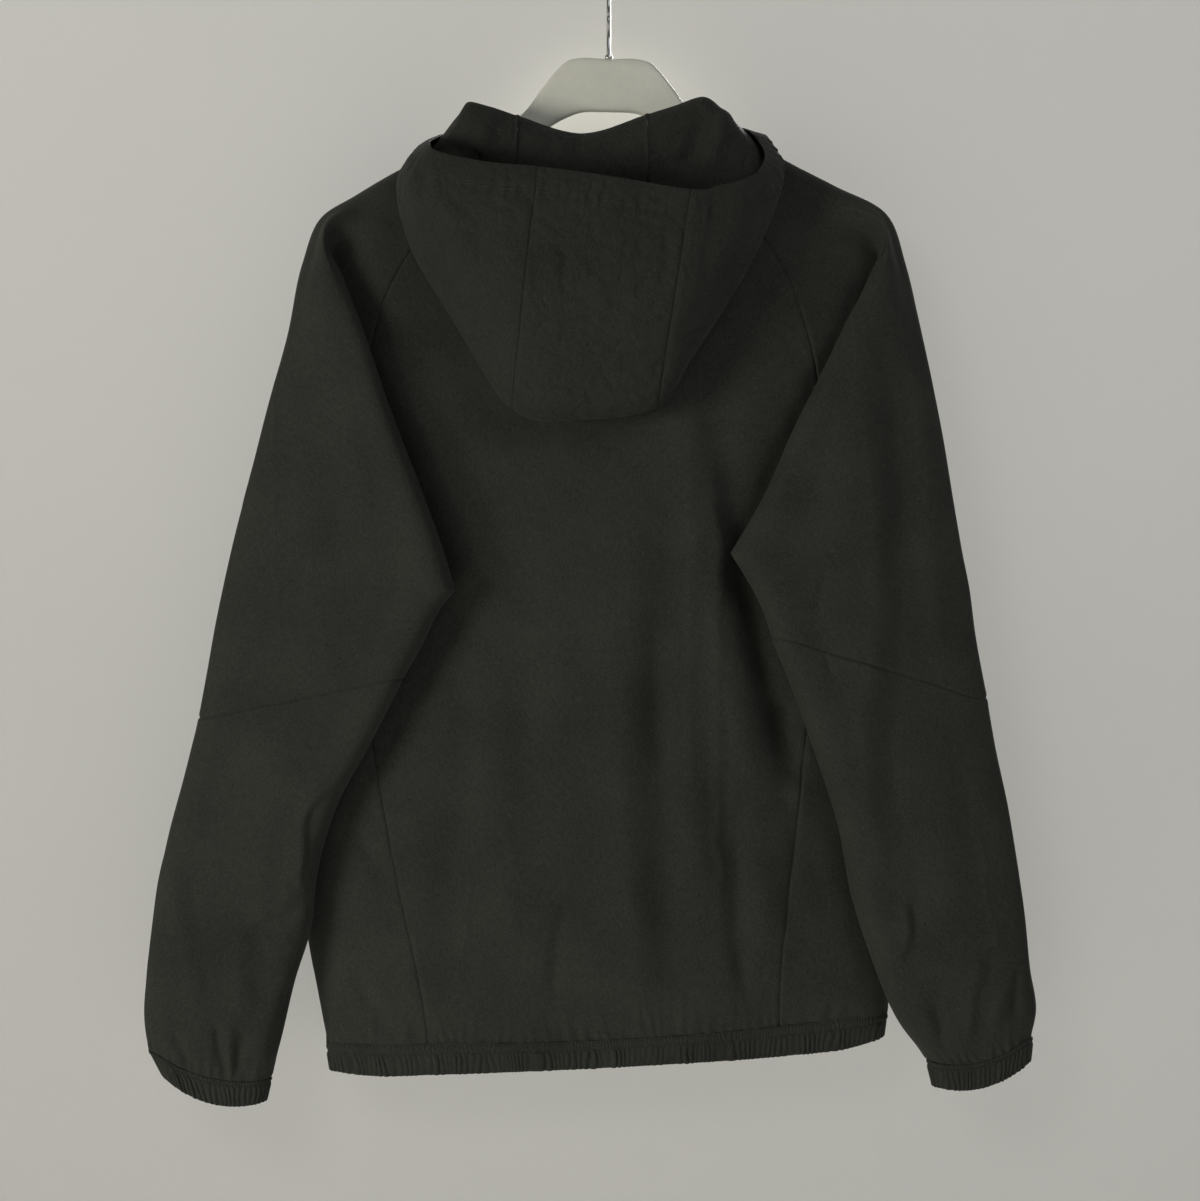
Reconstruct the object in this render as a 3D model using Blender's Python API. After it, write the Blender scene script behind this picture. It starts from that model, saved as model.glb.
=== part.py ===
"""Hooded raglan windbreaker jacket hanging on a moulded hanger.

The back of the jacket faces -Y and its zipped front faces +Y. The origin is where the hanger's
hook rests on its rail. Sizes are in millimetres and "drop" is the distance below the rail, so
z = -drop. Left and right are those of someone who looks along +Y. Every cloth piece is a thin
wall worked out from rows of middle-surface points, and pieces stand SEAM_GAP apart at a seam.
"""

import math

import bpy
import numpy as np

MM = 0.001
CLOTH = 1.0
SEAM_GAP = 0.3
ROUNDNESS = 2.6
LEFT, RIGHT = -1, 1
CENTRE_FRONT = -6.0
UNDERARM = 10


def table(columns, *rows):
    """A short table as a dictionary of named columns. The first column is its key."""
    return dict(zip(columns.split(), np.array(rows, float).T))


# The body as a flattened tube: its two side folds, and how far the back and front stand out.
BODY = table(
    "drop left right back front",
    (110, -205, 185, 15, 15),
    (170, -230, 210, 20, 20),
    (223, -245, 222, 24, 24),
    (300, -245, 215, 27, 26),
    (415, -232, 200, 31, 28),
    (482, -222, 191, 33, 29),
    (545, -237, 207, 34, 30),
    (613, -244, 217, 36, 30),
    (715, -244, 225, 37, 30),
    (772, -240, 227, 36, 29),
    (815, -232, 224, 32, 26),
    (850, -226, 220, 27, 23),
    (905, -217, 211, 25, 22),
)

# The two long edges of the back panel, row by row: raglan seams down to the underarm at row 10,
# then the side seams, which lie on the back of the jacket.
BACK_EDGES = table(
    "row left left_drop right right_drop",
    (0, -107, 170, 82, 164),
    (1, -131, 194, 103, 188),
    (2, -155, 223, 122, 215),
    (3, -176, 260, 142, 246),
    (4, -188, 300, 155, 281),
    (5, -194, 350, 166, 325),
    (6, -198, 382, 170, 360),
    (7, -203, 415, 173, 395),
    (8, -206, 449, 175, 431),
    (9, -207, 466, 175.5, 449),
    (10, -208, 482, 176, 467),
    (11, -203, 530, 171, 515),
    (12, -196, 575, 163, 562),
    (13, -185, 628, 155.5, 615),
    (14, -175, 680, 150, 668),
    (15, -164, 735, 143, 724),
    (16, -152, 790, 137, 780),
    (17, -145, 832, 135, 818),
    (18, -143.5, 853.8, 136, 839),
)

NECK_DIP = 14.0
BACK_COLUMNS = 16
FRONT_COLUMNS = 16

# Front raglan seam, and the matching drop at the zip. "turn" goes round the body tube: 0 is the
# middle of the back, 1 the side fold and 2 the middle of the front.
FRONT_EDGES = table(
    "row left_turn left_drop right_turn right_drop zip_drop",
    (0, 1.763, 185, 1.763, 179, 239),
    (1, 1.716, 207, 1.716, 200, 255),
    (2, 1.669, 234, 1.669, 226, 275),
    (3, 1.621, 266, 1.621, 256, 299),
    (4, 1.571, 300, 1.571, 288, 326),
    (5, 1.511, 338, 1.511, 325, 358),
    (6, 1.445, 370, 1.445, 356, 388),
    (7, 1.363, 404, 1.363, 390, 419),
    (8, 1.254, 437, 1.254, 423, 450),
    (9, 1.000, 462, 1.000, 447, 470),
    (10, 0.732, 482, 0.707, 467, 490),
)

# Top and bottom lines of the hem band, as drops at distances across.
HEM = table(
    "across top bottom",
    (-226, 855.5, 877.5),
    (-190, 855.0, 880.0),
    (-143, 853.8, 878.3),
    (-61, 852.0, 874.8),
    (50, 846.7, 869.2),
    (142, 838.8, 863.0),
    (195, 833.8, 857.3),
    (220, 832.0, 850.5),
)

# Soft upright folds of the back: a trough with a ridge beside it, from one point to another.
BACK_FOLDS = table(
    "x_high drop_high x_low drop_low width depth",
    (86, 330, 104, 520, 30, 4.0),
    (112, 470, 140, 640, 26, 3.5),
    (34, 520, 40, 640, 30, 3.5),
    (84, 620, 98, 740, 28, 4.0),
    (-118, 640, -126, 800, 30, 2.5),
    (-60, 560, -76, 700, 34, 2.5),
)

# Rows of the left sleeve. Rows 0 to 3 cross the shoulder and row 4 ends on its tip. From there
# the cloth folds back under itself: "fold" is the edge that shows, "tuck" the one beneath it,
# "outer" the outer edge. Depths are the middle of each edge, with half its thickness. "tuck_gap"
# is how far apart the two layers lie at the tuck.
LEFT_SLEEVE = table(
    "row outer outer_drop outer_y outer_half fold fold_drop fold_y fold_half tuck tuck_drop"
    " tuck_gap",
    (0, -120, 134.5, 0, 13, 0, 0, 0, 0, 0, 0, 0),
    (1, -145, 148, 0, 15, 0, 0, 0, 0, 0, 0, 0),
    (2, -172, 162, 0, 17, 0, 0, 0, 0, 0, 0, 0),
    (3, -202, 180, 0, 19, 0, 0, 0, 0, 0, 0, 0),
    (4, -229, 198.5, -3, 20, -222, 215, -25, 1.5, -220, 224, 2.4),
    (5, -243, 235, -10, 17, -210, 247, -33, 3.0, -215, 265, 3.5),
    (6, -254, 292, -17, 14, -194, 287, -42, 4.0, -215, 308, 5),
    (7, -269, 350, -24, 12, -172, 350, -49, 5.0, -217, 362, 7),
    (8, -283, 408, -29, 10, -147, 415, -54, 6.0, -218, 420, 8),
    (9, -294, 452, -32, 9, -131, 458, -57, 7.0, -216, 452, 7),
    (10, -303, 492, -33, 8, -119.5, 494.6, -58, 8.0, -205, 486, 3),
    (11, -309, 522, -34, 8, -132, 510, -56, 8.0, -200, 512, 0),
    (12, -315, 556, -34, 8, -145, 536, -54, 8.5, -204, 543, 0),
    (13, -322, 594.5, -34, 8, -160.8, 564, -52, 9.0, -212, 574, 0),
)

RIGHT_SLEEVE = table(
    "row outer outer_drop outer_y outer_half fold fold_drop fold_y fold_half tuck tuck_drop"
    " tuck_gap",
    (0, 97, 127.5, 0, 13, 0, 0, 0, 0, 0, 0, 0),
    (1, 122, 141, 0, 15, 0, 0, 0, 0, 0, 0, 0),
    (2, 150, 156.5, 0, 17, 0, 0, 0, 0, 0, 0, 0),
    (3, 181, 172.5, 0, 19, 0, 0, 0, 0, 0, 0, 0),
    (4, 222, 196.5, -3, 20, 219, 215, -25, 1.5, 216, 223, 2.4),
    (5, 236, 237, -10, 17, 207, 244, -33, 3.0, 204, 262, 3.5),
    (6, 245, 279, -17, 14, 187, 285, -42, 4.0, 193, 302, 5),
    (7, 254, 325, -24, 12, 166.8, 328, -48, 5.0, 192, 346, 7),
    (8, 263, 374, -29, 10, 143.5, 374, -53, 6.0, 191, 390, 8),
    (9, 271, 425, -32, 9, 120, 424, -56, 7.0, 187, 428, 7),
    (10, 278, 466, -33, 8, 95, 466, -58, 8.0, 172, 468, 3),
    (11, 283, 492, -34, 8, 107.6, 486, -56, 8.0, 168, 490, 0),
    (12, 288, 530, -34, 8, 120, 509, -54, 8.5, 172, 518, 0),
    (13, 297, 579, -34, 8, 127.8, 532, -53, 9.0, 178, 548, 0),
)

# How a shoulder row shares its columns: those that become the yoke end at "yoke" and those that
# become the hidden fold end at "split", as parts of the way up the back.
SHOULDER = table(
    "row yoke split",
    (0, 0.24, 0.50),
    (1, 0.34, 0.58),
    (2, 0.48, 0.68),
    (3, 0.68, 0.84),
)
# Columns across a sleeve: the yoke, the hidden fold, its turn, the flap that shows, the outer turn
# and the far side.
YOKE_STEPS, MIDDLE_STEPS, FOLD_STEPS, FLAP_STEPS, OUTER_STEPS, FAR_STEPS = 4, 2, 2, 4, 4, 4
FOLD_REACH = 4.0
OUTER_REACH = 5.0
SHOULDER_REACH = 9.0

# Rows of the lower sleeves, from the elbow seam to the cuff. "bow" is how much lower the cloth
# hangs between its two edges.
LEFT_FOREARM = table(
    "row outer outer_drop outer_y outer_half fold fold_drop fold_y fold_half bow",
    (0, -322, 595.3, -34, 8, -160.8, 564.8, -52, 9, 0),
    (1, -334, 643, -34, 8, -189, 619, -48, 9, 0),
    (2, -346, 688, -34, 8, -212, 661, -43, 9, 0),
    (3, -354, 728, -34, 8, -229, 716, -37, 9, 0),
    (4, -359, 765, -34, 8, -235, 762, -32, 9, 0),
    (5, -363, 800, -33, 9, -247, 800, -30, 9, 1),
    (6, -365, 835, -32, 9, -258, 846, -29, 9, 4),
    (7, -362, 856, -31, 7, -266, 878, -29, 7, 9),
)

RIGHT_FOREARM = table(
    "row outer outer_drop outer_y outer_half fold fold_drop fold_y fold_half bow",
    (0, 297, 579.8, -34, 8, 127.8, 532.8, -53, 9, 0),
    (1, 304, 620, -34, 8, 144, 572, -50, 9, 0),
    (2, 313, 662, -34, 8, 163, 622, -46, 9, 0),
    (3, 321, 710, -34, 8, 181, 675, -42, 9, 0),
    (4, 327, 752, -34, 8, 192, 738, -37, 9, 0),
    (5, 331, 792, -33, 9, 208, 787, -33, 9, 1),
    (6, 336, 826, -32, 9, 229, 835, -30, 9, 4),
    (7, 333, 846, -31, 7, 251, 864, -29, 7, 9),
)

# Cuffs: the two ends of the top and bottom lines, and how much lower the middle of the mouth is.
CUFFS = table(
    "side top_outer top_outer_drop top_inner top_inner_drop bottom_outer bottom_outer_drop"
    " bottom_inner bottom_inner_drop bow",
    (LEFT, -362, 856.5, -266, 878.5, -351, 877, -271, 897, 10),
    (RIGHT, 333, 846.5, 251, 864.5, 331, 866, 256, 885, 9),
)
CUFF_DEPTH_Y = -30.0
CUFF_NARROWING = 0.9
CUFF_GATHERS = 26
HEM_GATHERS = 130
GATHER_HEIGHT = 1.3
HEM_CHANNEL = 7.0

# Hood strips from the front edge on the left (place 0), round the back (place 9 is its middle),
# to the front edge on the right (place 18). Each strip rises from the neckline to its ridge,
# folds out, falls to its bottom fold and climbs the outside to its lip.
HOOD = table(
    "place ridge_x ridge_y ridge_drop bottom_x bottom_y bottom_drop lip_x lip_y lip_drop facing",
    (0, -9, 26, 180, -9, 30, 182, -9, 31, 180.5, 90),
    (1, -50, 27, 163, -60, 37, 175, -52, 38, 164, 100),
    (2, -92, 22, 144, -112, 34, 167, -97, 33, 145, 130),
    (3, -115, 6, 127, -140, 10, 137, -127, 8, 130, 175),
    (4, -118, -12, 121, -155, -28, 157, -137, -34, 139, 205),
    (5, -114, -25, 115, -164, -40, 184, -139, -62, 148, 235),
    (6, -109, -33, 111, -153, -50, 230, -131, -76, 157, 250),
    (7, -93, -34, 115, -121, -54, 285, -95, -84, 166, 262),
    (8, -71.5, -34, 122, -75, -56, 354, -54.5, -88, 170.5, 270),
    (9, -21, -34, 136, -22, -58, 362, -4, -90, 177.5, 270),
    (10, 30, -34, 121, 38, -56, 352, 63, -88, 188, 270),
    (11, 52, -34, 114, 64, -54, 315, 84, -84, 184.5, 278),
    (12, 74, -33, 107, 105, -50, 249, 104, -76, 178, 290),
    (13, 90, -25, 116, 130, -46, 193, 117, -62, 168, 300),
    (14, 96, -12, 120, 134, -32, 160, 122, -34, 148, 330),
    (15, 95, 6, 121, 116, 10, 130, 105, 8, 124, 365),
    (16, 76, 22, 144, 97, 34, 167, 81, 33, 145, 410),
    (17, 36, 27, 163, 46, 37, 175, 38, 38, 164, 440),
    (18, -3, 26, 180, -3, 30, 182, -3, 31, 180.5, 450),
)
HOOD_SEAMS = (8, 10)
# Extra strips between the places of the table, at these steps: (from place, step).
HOOD_STEPS = ((0, 0.25), (4, 0.5), (8, 1 / 3))

# Where each hood strip stands on the neckline, as a share of its length, and its gap above it.
NECK = table(
    "place share gap",
    (0, 0.0, 0.5),
    (1, 0.08, 0.5),
    (2, 0.19, 0.7),
    (3, 0.285, 1.3),
    (4, 0.325, 1.0),
    (5, 0.348, 0.8),
    (6, 0.368, 0.6),
    (7, 0.385, 0.5),
    (8, 0.402, 0.5),
    (9, 0.50, 0.5),
    (10, 0.577, 0.5),
    (11, 0.60, 0.5),
    (12, 0.624, 0.6),
    (13, 0.648, 0.8),
    (14, 0.68, 1.0),
    (15, 0.735, 1.1),
    (16, 0.815, 0.7),
    (17, 0.92, 0.5),
    (18, 1.0, 0.5),
)

# The hanger's arm, from its middle out: top and bottom drops and half its depth. The hanger tilts
# a little, its right arm down, so that the cloth rests on both arms.
HANGER = table(
    "out top bottom half",
    (0, 70, 112, 6),
    (26, 70, 114, 6),
    (33, 72, 117, 6),
    (39, 77, 120, 6),
    (52, 93, 129, 6.5),
    (66, 112, 143, 7),
    (100, 129, 161, 8),
    (140, 150.0, 179, 10),
    (175, 169.3, 196, 12),
    (200, 185.0, 207, 13),
    (212, 194, 211, 11),
    (217, 198, 208, 6),
)
HANGER_TILT = 0.0195
HANGER_SIDES = 14
HANGER_CORNERS = 0.6
HOOK_WIRE = 3.5
HOOK_RADIUS = 20.0
HOOK_START, HOOK_END = -50.0, 200.0
HOOK_SIDES = 10
STEM_TOP = 56.0
COLLAR_RADIUS = 3.2
COLLAR_HEIGHT = 3.5

ZIP_TAPE_WIDTH = 6.0
ZIP_FOOT_DROP = 850.5
ZIP_START = 2.0
ZIP_END_DROP = 870.0
STRIP_STEPS = 14
CHAIN_WIDTH = 5.0
CHAIN_DEPTH = 1.6
SLIDER_DROP = 258.0
SLIDER_WIDTH = 8.0
SLIDER_HEIGHT = 12.0
SLIDER_DEPTH = 2.4
BRIDGE_WIDTH = 2.0
BRIDGE_HALF_LENGTH = 4.4
BRIDGE_WALL = 1.2
BRIDGE_RISE = 3.7
PULL_BAR = 1.2
PULL_BAR_HEIGHT = 1.4
PULL_WINDOW_WIDTH = 3.0
PULL_WINDOW_LENGTH = 6.0
PULL_WIDTH = 6.0
PULL_LENGTH = 24.0


def read(rows, column, at):
    """A column's value at a place along the table's key, on a smooth curve through its rows."""
    keys = next(iter(rows.values()))
    values = rows[column]
    slopes = np.gradient(values, keys)
    at = np.clip(at, keys[0], keys[-1])
    low = np.clip(np.searchsorted(keys, at) - 1, 0, len(keys) - 2)
    span = keys[low + 1] - keys[low]
    part = (at - keys[low]) / span
    rise = part * part * (3 - 2 * part)
    start = part * (1 - part) ** 2 * span * slopes[low]
    end = part * part * (1 - part) * span * slopes[low + 1]
    return values[low] + (values[low + 1] - values[low]) * rise + start - end


def mix(start, end, part):
    return start + (end - start) * part


def ease(part):
    return part * part * (3 - 2 * part)


def body_section(drop):
    """Middle, half width and the two depths of the body tube at a drop."""
    left, right = read(BODY, "left", drop), read(BODY, "right", drop)
    return (left + right) / 2, (right - left) / 2, read(BODY, "back", drop), read(BODY, "front", drop)


def fold_relief(x, drop):
    """How far the back's soft folds move it in, which is towards +Y."""
    moved = 0.0
    for high_x, high, low_x, low, width, depth in zip(*BACK_FOLDS.values()):
        part = (drop - high) / (low - high)
        if not -0.3 < part < 1.3:
            continue
        away = (x - mix(high_x, low_x, part)) / width
        fade = math.cos((part - 0.5) / 1.6 * math.pi) ** 2
        moved += depth * fade * (math.exp(-4 * away**2) - 0.7 * math.exp(-4 * (away + 0.9) ** 2))
    return moved


def back_y(x, drop):
    """Depth of the back surface of the body tube."""
    middle, half, back, _ = body_section(drop)
    inside = 1 - min(abs(x - middle) / half, 1) ** ROUNDNESS
    return -back * inside ** (1 / ROUNDNESS) + fold_relief(x, drop)


def body_point(side, turn, drop):
    """A point of the body tube: turn 0 is the middle of the back, 1 a side fold, 2 the front."""
    middle, half, back, front = body_section(drop)
    angle = turn * math.pi / 2
    across = math.copysign(abs(math.sin(angle)) ** (2 / ROUNDNESS), math.sin(angle))
    depth = abs(math.cos(angle)) ** (2 / ROUNDNESS)
    x = middle + side * half * across
    if math.cos(angle) > 0:
        return np.array((x, -back * depth + fold_relief(x, drop), -drop))
    return np.array((x, front * depth, -drop))


def turn_on_back(x, drop):
    """The turn at which the body tube's back has a given distance across."""
    middle, half, _, _ = body_section(drop)
    return math.asin(min(abs(x - middle) / half, 1) ** (ROUNDNESS / 2)) * 2 / math.pi


def front_turn_at(side, x, drop):
    """The turn, counted round one side, at which the front has a given distance across."""
    beyond_middle = side * (x - body_section(drop)[0]) < 0
    return 2 + turn_on_back(x, drop) * (1 if beyond_middle else -1)


def unit(vector):
    return vector / np.linalg.norm(vector)


def trim(grid, first_row=0, last_row=0, first_column=0, last_column=0):
    """Moves the named edges of a grid inwards along its own lines by these distances."""
    grid = np.array(grid, float)
    for edge, inner, gap in (
        (grid[0], grid[1], first_row),
        (grid[-1], grid[-2], last_row),
        (grid[:, 0], grid[:, 1], first_column),
        (grid[:, -1], grid[:, -2], last_column),
    ):
        step = inner - edge
        edge += step * np.reshape(gap, (-1, 1)) / np.linalg.norm(step, axis=-1, keepdims=True)
    return grid


def surface_normals(grid):
    down = np.gradient(grid, axis=0)
    across = np.gradient(grid, axis=1)
    normals = np.cross(down, across)
    return normals / np.linalg.norm(normals, axis=-1, keepdims=True)


def signed_volume(points, faces):
    total = 0.0
    for face in faces:
        first = points[face[0]]
        for second, third in zip(face[1:-1], face[2:]):
            total += np.dot(first, np.cross(points[second], points[third]))
    return total


def make_solid(name, points, faces, material, sharp=40):
    """An object from points in millimetres, with its faces turned outwards."""
    points = np.asarray(points, float) * MM
    if signed_volume(points, faces) < 0:
        faces = [face[::-1] for face in faces]
    mesh = bpy.data.meshes.new(name)
    mesh.from_pydata(points.tolist(), [], faces)
    mesh.update()
    mesh.shade_smooth()
    mesh.set_sharp_from_angle(angle=math.radians(sharp))
    mesh.materials.append(material)
    made = bpy.data.objects.new(name, mesh)
    bpy.context.scene.collection.objects.link(made)
    return made


def wall(name, outer, inner, material):
    """A closed wall between an outer and an inner grid that share their column count."""
    rows, columns = outer.shape[:2]
    inner_rows = inner.shape[0]
    start = rows * columns
    points = np.concatenate([outer.reshape(-1, 3), inner.reshape(-1, 3)])

    def out(row, column):
        return row * columns + column

    def back(row, column):
        return start + row * columns + column

    faces = []
    for row in range(rows - 1):
        for column in range(columns - 1):
            near, far = out(row, column), out(row + 1, column)
            faces.append([near, far, far + 1, near + 1])
    for row in range(inner_rows - 1):
        for column in range(columns - 1):
            near, far = back(row, column), back(row + 1, column)
            faces.append([near, near + 1, far + 1, far])
    last, inner_last = rows - 1, inner_rows - 1
    for column in range(columns - 1):
        faces.append([out(0, column), out(0, column + 1), back(0, column + 1), back(0, column)])
        faces.append(
            [
                out(last, column),
                back(inner_last, column),
                back(inner_last, column + 1),
                out(last, column + 1),
            ]
        )
    for column, turned in ((0, False), (columns - 1, True)):
        if rows == inner_rows:
            for row in range(rows - 1):
                face = [out(row, column), back(row, column), back(row + 1, column), out(row + 1, column)]
                faces.append(face[::-1] if turned else face)
        else:
            face = [out(row, column) for row in range(rows - 1, -1, -1)]
            face += [back(row, column) for row in range(inner_rows)]
            faces.append(face[::-1] if turned else face)
    return make_solid(name, points, faces, material)


def cloth_sheet(name, grid, material, thickness=CLOTH):
    """A cloth wall whose middle surface is the grid."""
    normals = surface_normals(grid)
    return wall(name, grid + normals * thickness / 2, grid - normals * thickness / 2, material)


def tube_faces(rings, sides):
    """Faces of a closed tube with flat ends, whose points are listed ring by ring."""
    faces = []
    for ring in range(rings - 1):
        for step in range(sides):
            after = (step + 1) % sides
            low, high = ring * sides, (ring + 1) * sides
            faces.append([low + step, low + after, high + after, high + step])
    faces.append(list(range(sides))[::-1])
    faces.append([(rings - 1) * sides + step for step in range(sides)])
    return faces


def sweep(name, path, radii, sides, material):
    """A round bar along a path in the YZ plane, with flat ends."""
    path = np.asarray(path, float)
    points = []
    across = np.array((1.0, 0.0, 0.0))
    for centre, tangent, radius in zip(path, np.gradient(path, axis=0), radii):
        lift = unit(np.cross(across, tangent))
        for step in range(sides):
            angle = 2 * math.pi * step / sides
            points.append(centre + radius * (math.cos(angle) * across + math.sin(angle) * lift))
    return make_solid(name, points, tube_faces(len(path), sides), material, sharp=50)


def finish(name, colour, roughness, metallic=0.0, sheen=0.0):
    """A Principled material."""
    material = bpy.data.materials.new(name)
    material.use_nodes = True
    shader = material.node_tree.nodes["Principled BSDF"]
    shader.inputs["Base Color"].default_value = (*colour, 1.0)
    shader.inputs["Roughness"].default_value = roughness
    shader.inputs["Metallic"].default_value = metallic
    shader.inputs["Sheen Weight"].default_value = sheen
    return material


def underarm_gaps(rows, above, wide):
    """Seam trims row by row: wider near the underarm, where two pieces meet square on."""
    return [wide if UNDERARM - above <= row <= UNDERARM else SEAM_GAP / 2 for row in range(rows)]


def hem_line(column, x):
    return read(HEM, column, x)


def make_back(material):
    columns = BACK_COLUMNS
    last = len(BACK_EDGES["row"]) - 1
    grid = np.zeros((last + 1, columns + 1, 3))
    for row in range(last + 1):
        left, left_drop = BACK_EDGES["left"][row], BACK_EDGES["left_drop"][row]
        right, right_drop = BACK_EDGES["right"][row], BACK_EDGES["right_drop"][row]
        for column in range(columns + 1):
            part = column / columns
            x = mix(left, right, part)
            neck_dip = NECK_DIP * max(0, 1 - row / 5) ** 2
            drop = mix(left_drop, right_drop, part) + 4 * part * (1 - part) * neck_dip
            if row == last:
                drop = hem_line("top", x)
            grid[row, column] = (x, back_y(x, drop), -drop)
    half = SEAM_GAP / 2
    gaps = underarm_gaps(len(grid), 2, SEAM_GAP)
    return cloth_sheet("back_panel", trim(grid, half, half, gaps, gaps), material)


def front_grid(side):
    """Rows of a front panel, from the raglan and side seams round the side fold to the zip."""
    key = "left" if side == LEFT else "right"
    columns = FRONT_COLUMNS
    zip_edge = CENTRE_FRONT + side * (ZIP_TAPE_WIDTH + SEAM_GAP)
    last = len(BACK_EDGES["row"]) - 1
    grid = []
    for row in range(last + 1):
        if row < UNDERARM:
            start_turn = FRONT_EDGES[key + "_turn"][row]
            start_drop = FRONT_EDGES[key + "_drop"][row]
            end_drop = FRONT_EDGES["zip_drop"][row]
        else:
            start_drop = BACK_EDGES[key + "_drop"][row]
            start_turn = turn_on_back(BACK_EDGES[key][row], start_drop)
            share = (row - UNDERARM) / (last - UNDERARM)
            end_drop = mix(FRONT_EDGES["zip_drop"][-1], ZIP_FOOT_DROP, share)
        line = []
        for column in range(columns + 1):
            part = column / columns
            drop = mix(start_drop, end_drop, 1 - (1 - part) ** 2)
            end_turn = front_turn_at(side, zip_edge, drop)
            turn = mix(start_turn, end_turn, part)
            point = body_point(side, turn, drop)
            if row == last:
                drop = hem_line("top", point[0])
                point = body_point(side, turn, drop)
            line.append(point)
        grid.append(line)
    return np.array(grid)


def make_front(side, name, material):
    half = SEAM_GAP / 2
    return cloth_sheet(name, trim(front_grid(side), half, half, half, 0), material)


def round_turn(centre, outward, reach, depth, steps, start=0.0, end=180.0):
    """Points of a turn from the near face (-Y) round an edge to the far face (+Y)."""
    points = []
    for step in range(steps + 1):
        angle = math.radians(mix(start, end, step / steps))
        sideways = outward * math.sin(angle) * reach
        points.append(centre + sideways + np.array((0, -math.cos(angle) * depth, 0)))
    return points


def stretch(start, end, steps, bulge=0.0, skip_first=False, skip_last=False):
    """Points from one to another, bowed along Y."""
    points = []
    for step in range(steps + 1):
        if (skip_first and step == 0) or (skip_last and step == steps):
            continue
        part = step / steps
        bow = bulge * math.sin(part * math.pi) ** 0.8
        points.append(mix(start, end, part) + np.array((0, bow, 0)))
    return points


def shoulder_row(seam, front, outer, depth, yoke, split):
    """A row that crosses the shoulder: up the back, over the hanger's arm and down the front."""
    inward = unit(np.array((seam[0] - outer[0], 0, seam[2] - outer[2])))
    centre = outer + inward * SHOULDER_REACH
    near = centre + np.array((0, -depth, 0))
    yoke_end, fold_end = mix(seam, near, yoke), mix(seam, near, split)
    points = stretch(seam, yoke_end, YOKE_STEPS, skip_last=True)
    points += stretch(yoke_end, fold_end, 2 + MIDDLE_STEPS + FOLD_STEPS, skip_last=True)
    points += stretch(fold_end, near, FLAP_STEPS, skip_last=True)
    points += round_turn(centre, -inward, SHOULDER_REACH, depth, OUTER_STEPS)
    far = centre + np.array((0, depth, 0))
    points += stretch(far, front, FAR_STEPS, skip_first=True)
    return points


def sleeve_grid(side):
    """Rows of an upper sleeve from the neckline to the elbow seam."""
    rows = LEFT_SLEEVE if side == LEFT else RIGHT_SLEEVE
    key = "left" if side == LEFT else "right"
    outward = np.array((float(side), 0, 0))
    grid = []
    for row in range(len(rows["row"])):
        outer = np.array((rows["outer"][row], rows["outer_y"][row], -rows["outer_drop"][row]))
        outer_half = rows["outer_half"][row]
        if row <= UNDERARM:
            x, drop = BACK_EDGES[key][row], BACK_EDGES[key + "_drop"][row]
            seam = np.array((x, back_y(x, drop), -drop))
            front = body_point(side, FRONT_EDGES[key + "_turn"][row], FRONT_EDGES[key + "_drop"][row])
        if row < len(SHOULDER["row"]):
            yoke, split = SHOULDER["yoke"][row], SHOULDER["split"][row]
            grid.append(shoulder_row(seam, front, outer, outer_half, yoke, split))
            continue
        fold_half = rows["fold_half"][row]
        fold = np.array((rows["fold"][row], rows["fold_y"][row], -rows["fold_drop"][row]))
        tuck_x, tuck_drop = rows["tuck"][row], rows["tuck_drop"][row]
        near = np.array((0, -1.0, 0))
        outer_reach = mix(SHOULDER_REACH, OUTER_REACH, min((row - 4) / 4, 1))
        fold_reach = min(fold_half, FOLD_REACH)
        outer_centre = outer - outward * outer_reach
        fold_centre = fold + outward * fold_reach
        if row < UNDERARM:
            tuck_y = back_y(tuck_x, tuck_drop)
        elif row == UNDERARM:
            tuck_y = back_y(tuck_x, tuck_drop) - 4
            seam = seam + near * 2
            front = front + near * 2 + outward * 1
        else:
            tuck_y = back_y(tuck_x, tuck_drop) - 7
            seam_x = tuck_x + side * 6
            seam = np.array((seam_x, back_y(seam_x, tuck_drop) - 6, -tuck_drop))
            front = seam
        tuck = np.array((tuck_x, tuck_y, -tuck_drop))
        points = stretch(seam, tuck, YOKE_STEPS, skip_last=True)
        tuck_turn = tuck + near * (rows["tuck_gap"][row] + 0.8)
        far_fold, near_fold = fold_centre - near * fold_half, fold_centre + near * fold_half
        near_outer = outer_centre + near * outer_half
        points.append(tuck)
        points += stretch(tuck_turn, far_fold, 1 + MIDDLE_STEPS, skip_last=True)
        points += round_turn(fold_centre, -outward, fold_reach, -fold_half, FOLD_STEPS)[:-1]
        points += stretch(near_fold, near_outer, FLAP_STEPS, -7, skip_last=True)
        points += round_turn(outer_centre, outward, outer_reach, outer_half, OUTER_STEPS)
        points += stretch(outer_centre - near * outer_half, front, FAR_STEPS, 2, skip_first=True)
        grid.append(points)
    return np.array(grid)


def make_upper_sleeve(side, name, material):
    """An upper sleeve, from its seam on the back over the shoulder to its seam on the front."""
    half = SEAM_GAP / 2
    grid = sleeve_grid(side)
    back_gap = underarm_gaps(len(grid), 2, 3 * SEAM_GAP)
    front_gap = underarm_gaps(len(grid), 3, CLOTH / 2 + SEAM_GAP)
    return cloth_sheet(name, trim(grid, half, half, back_gap, front_gap), material)


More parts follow.
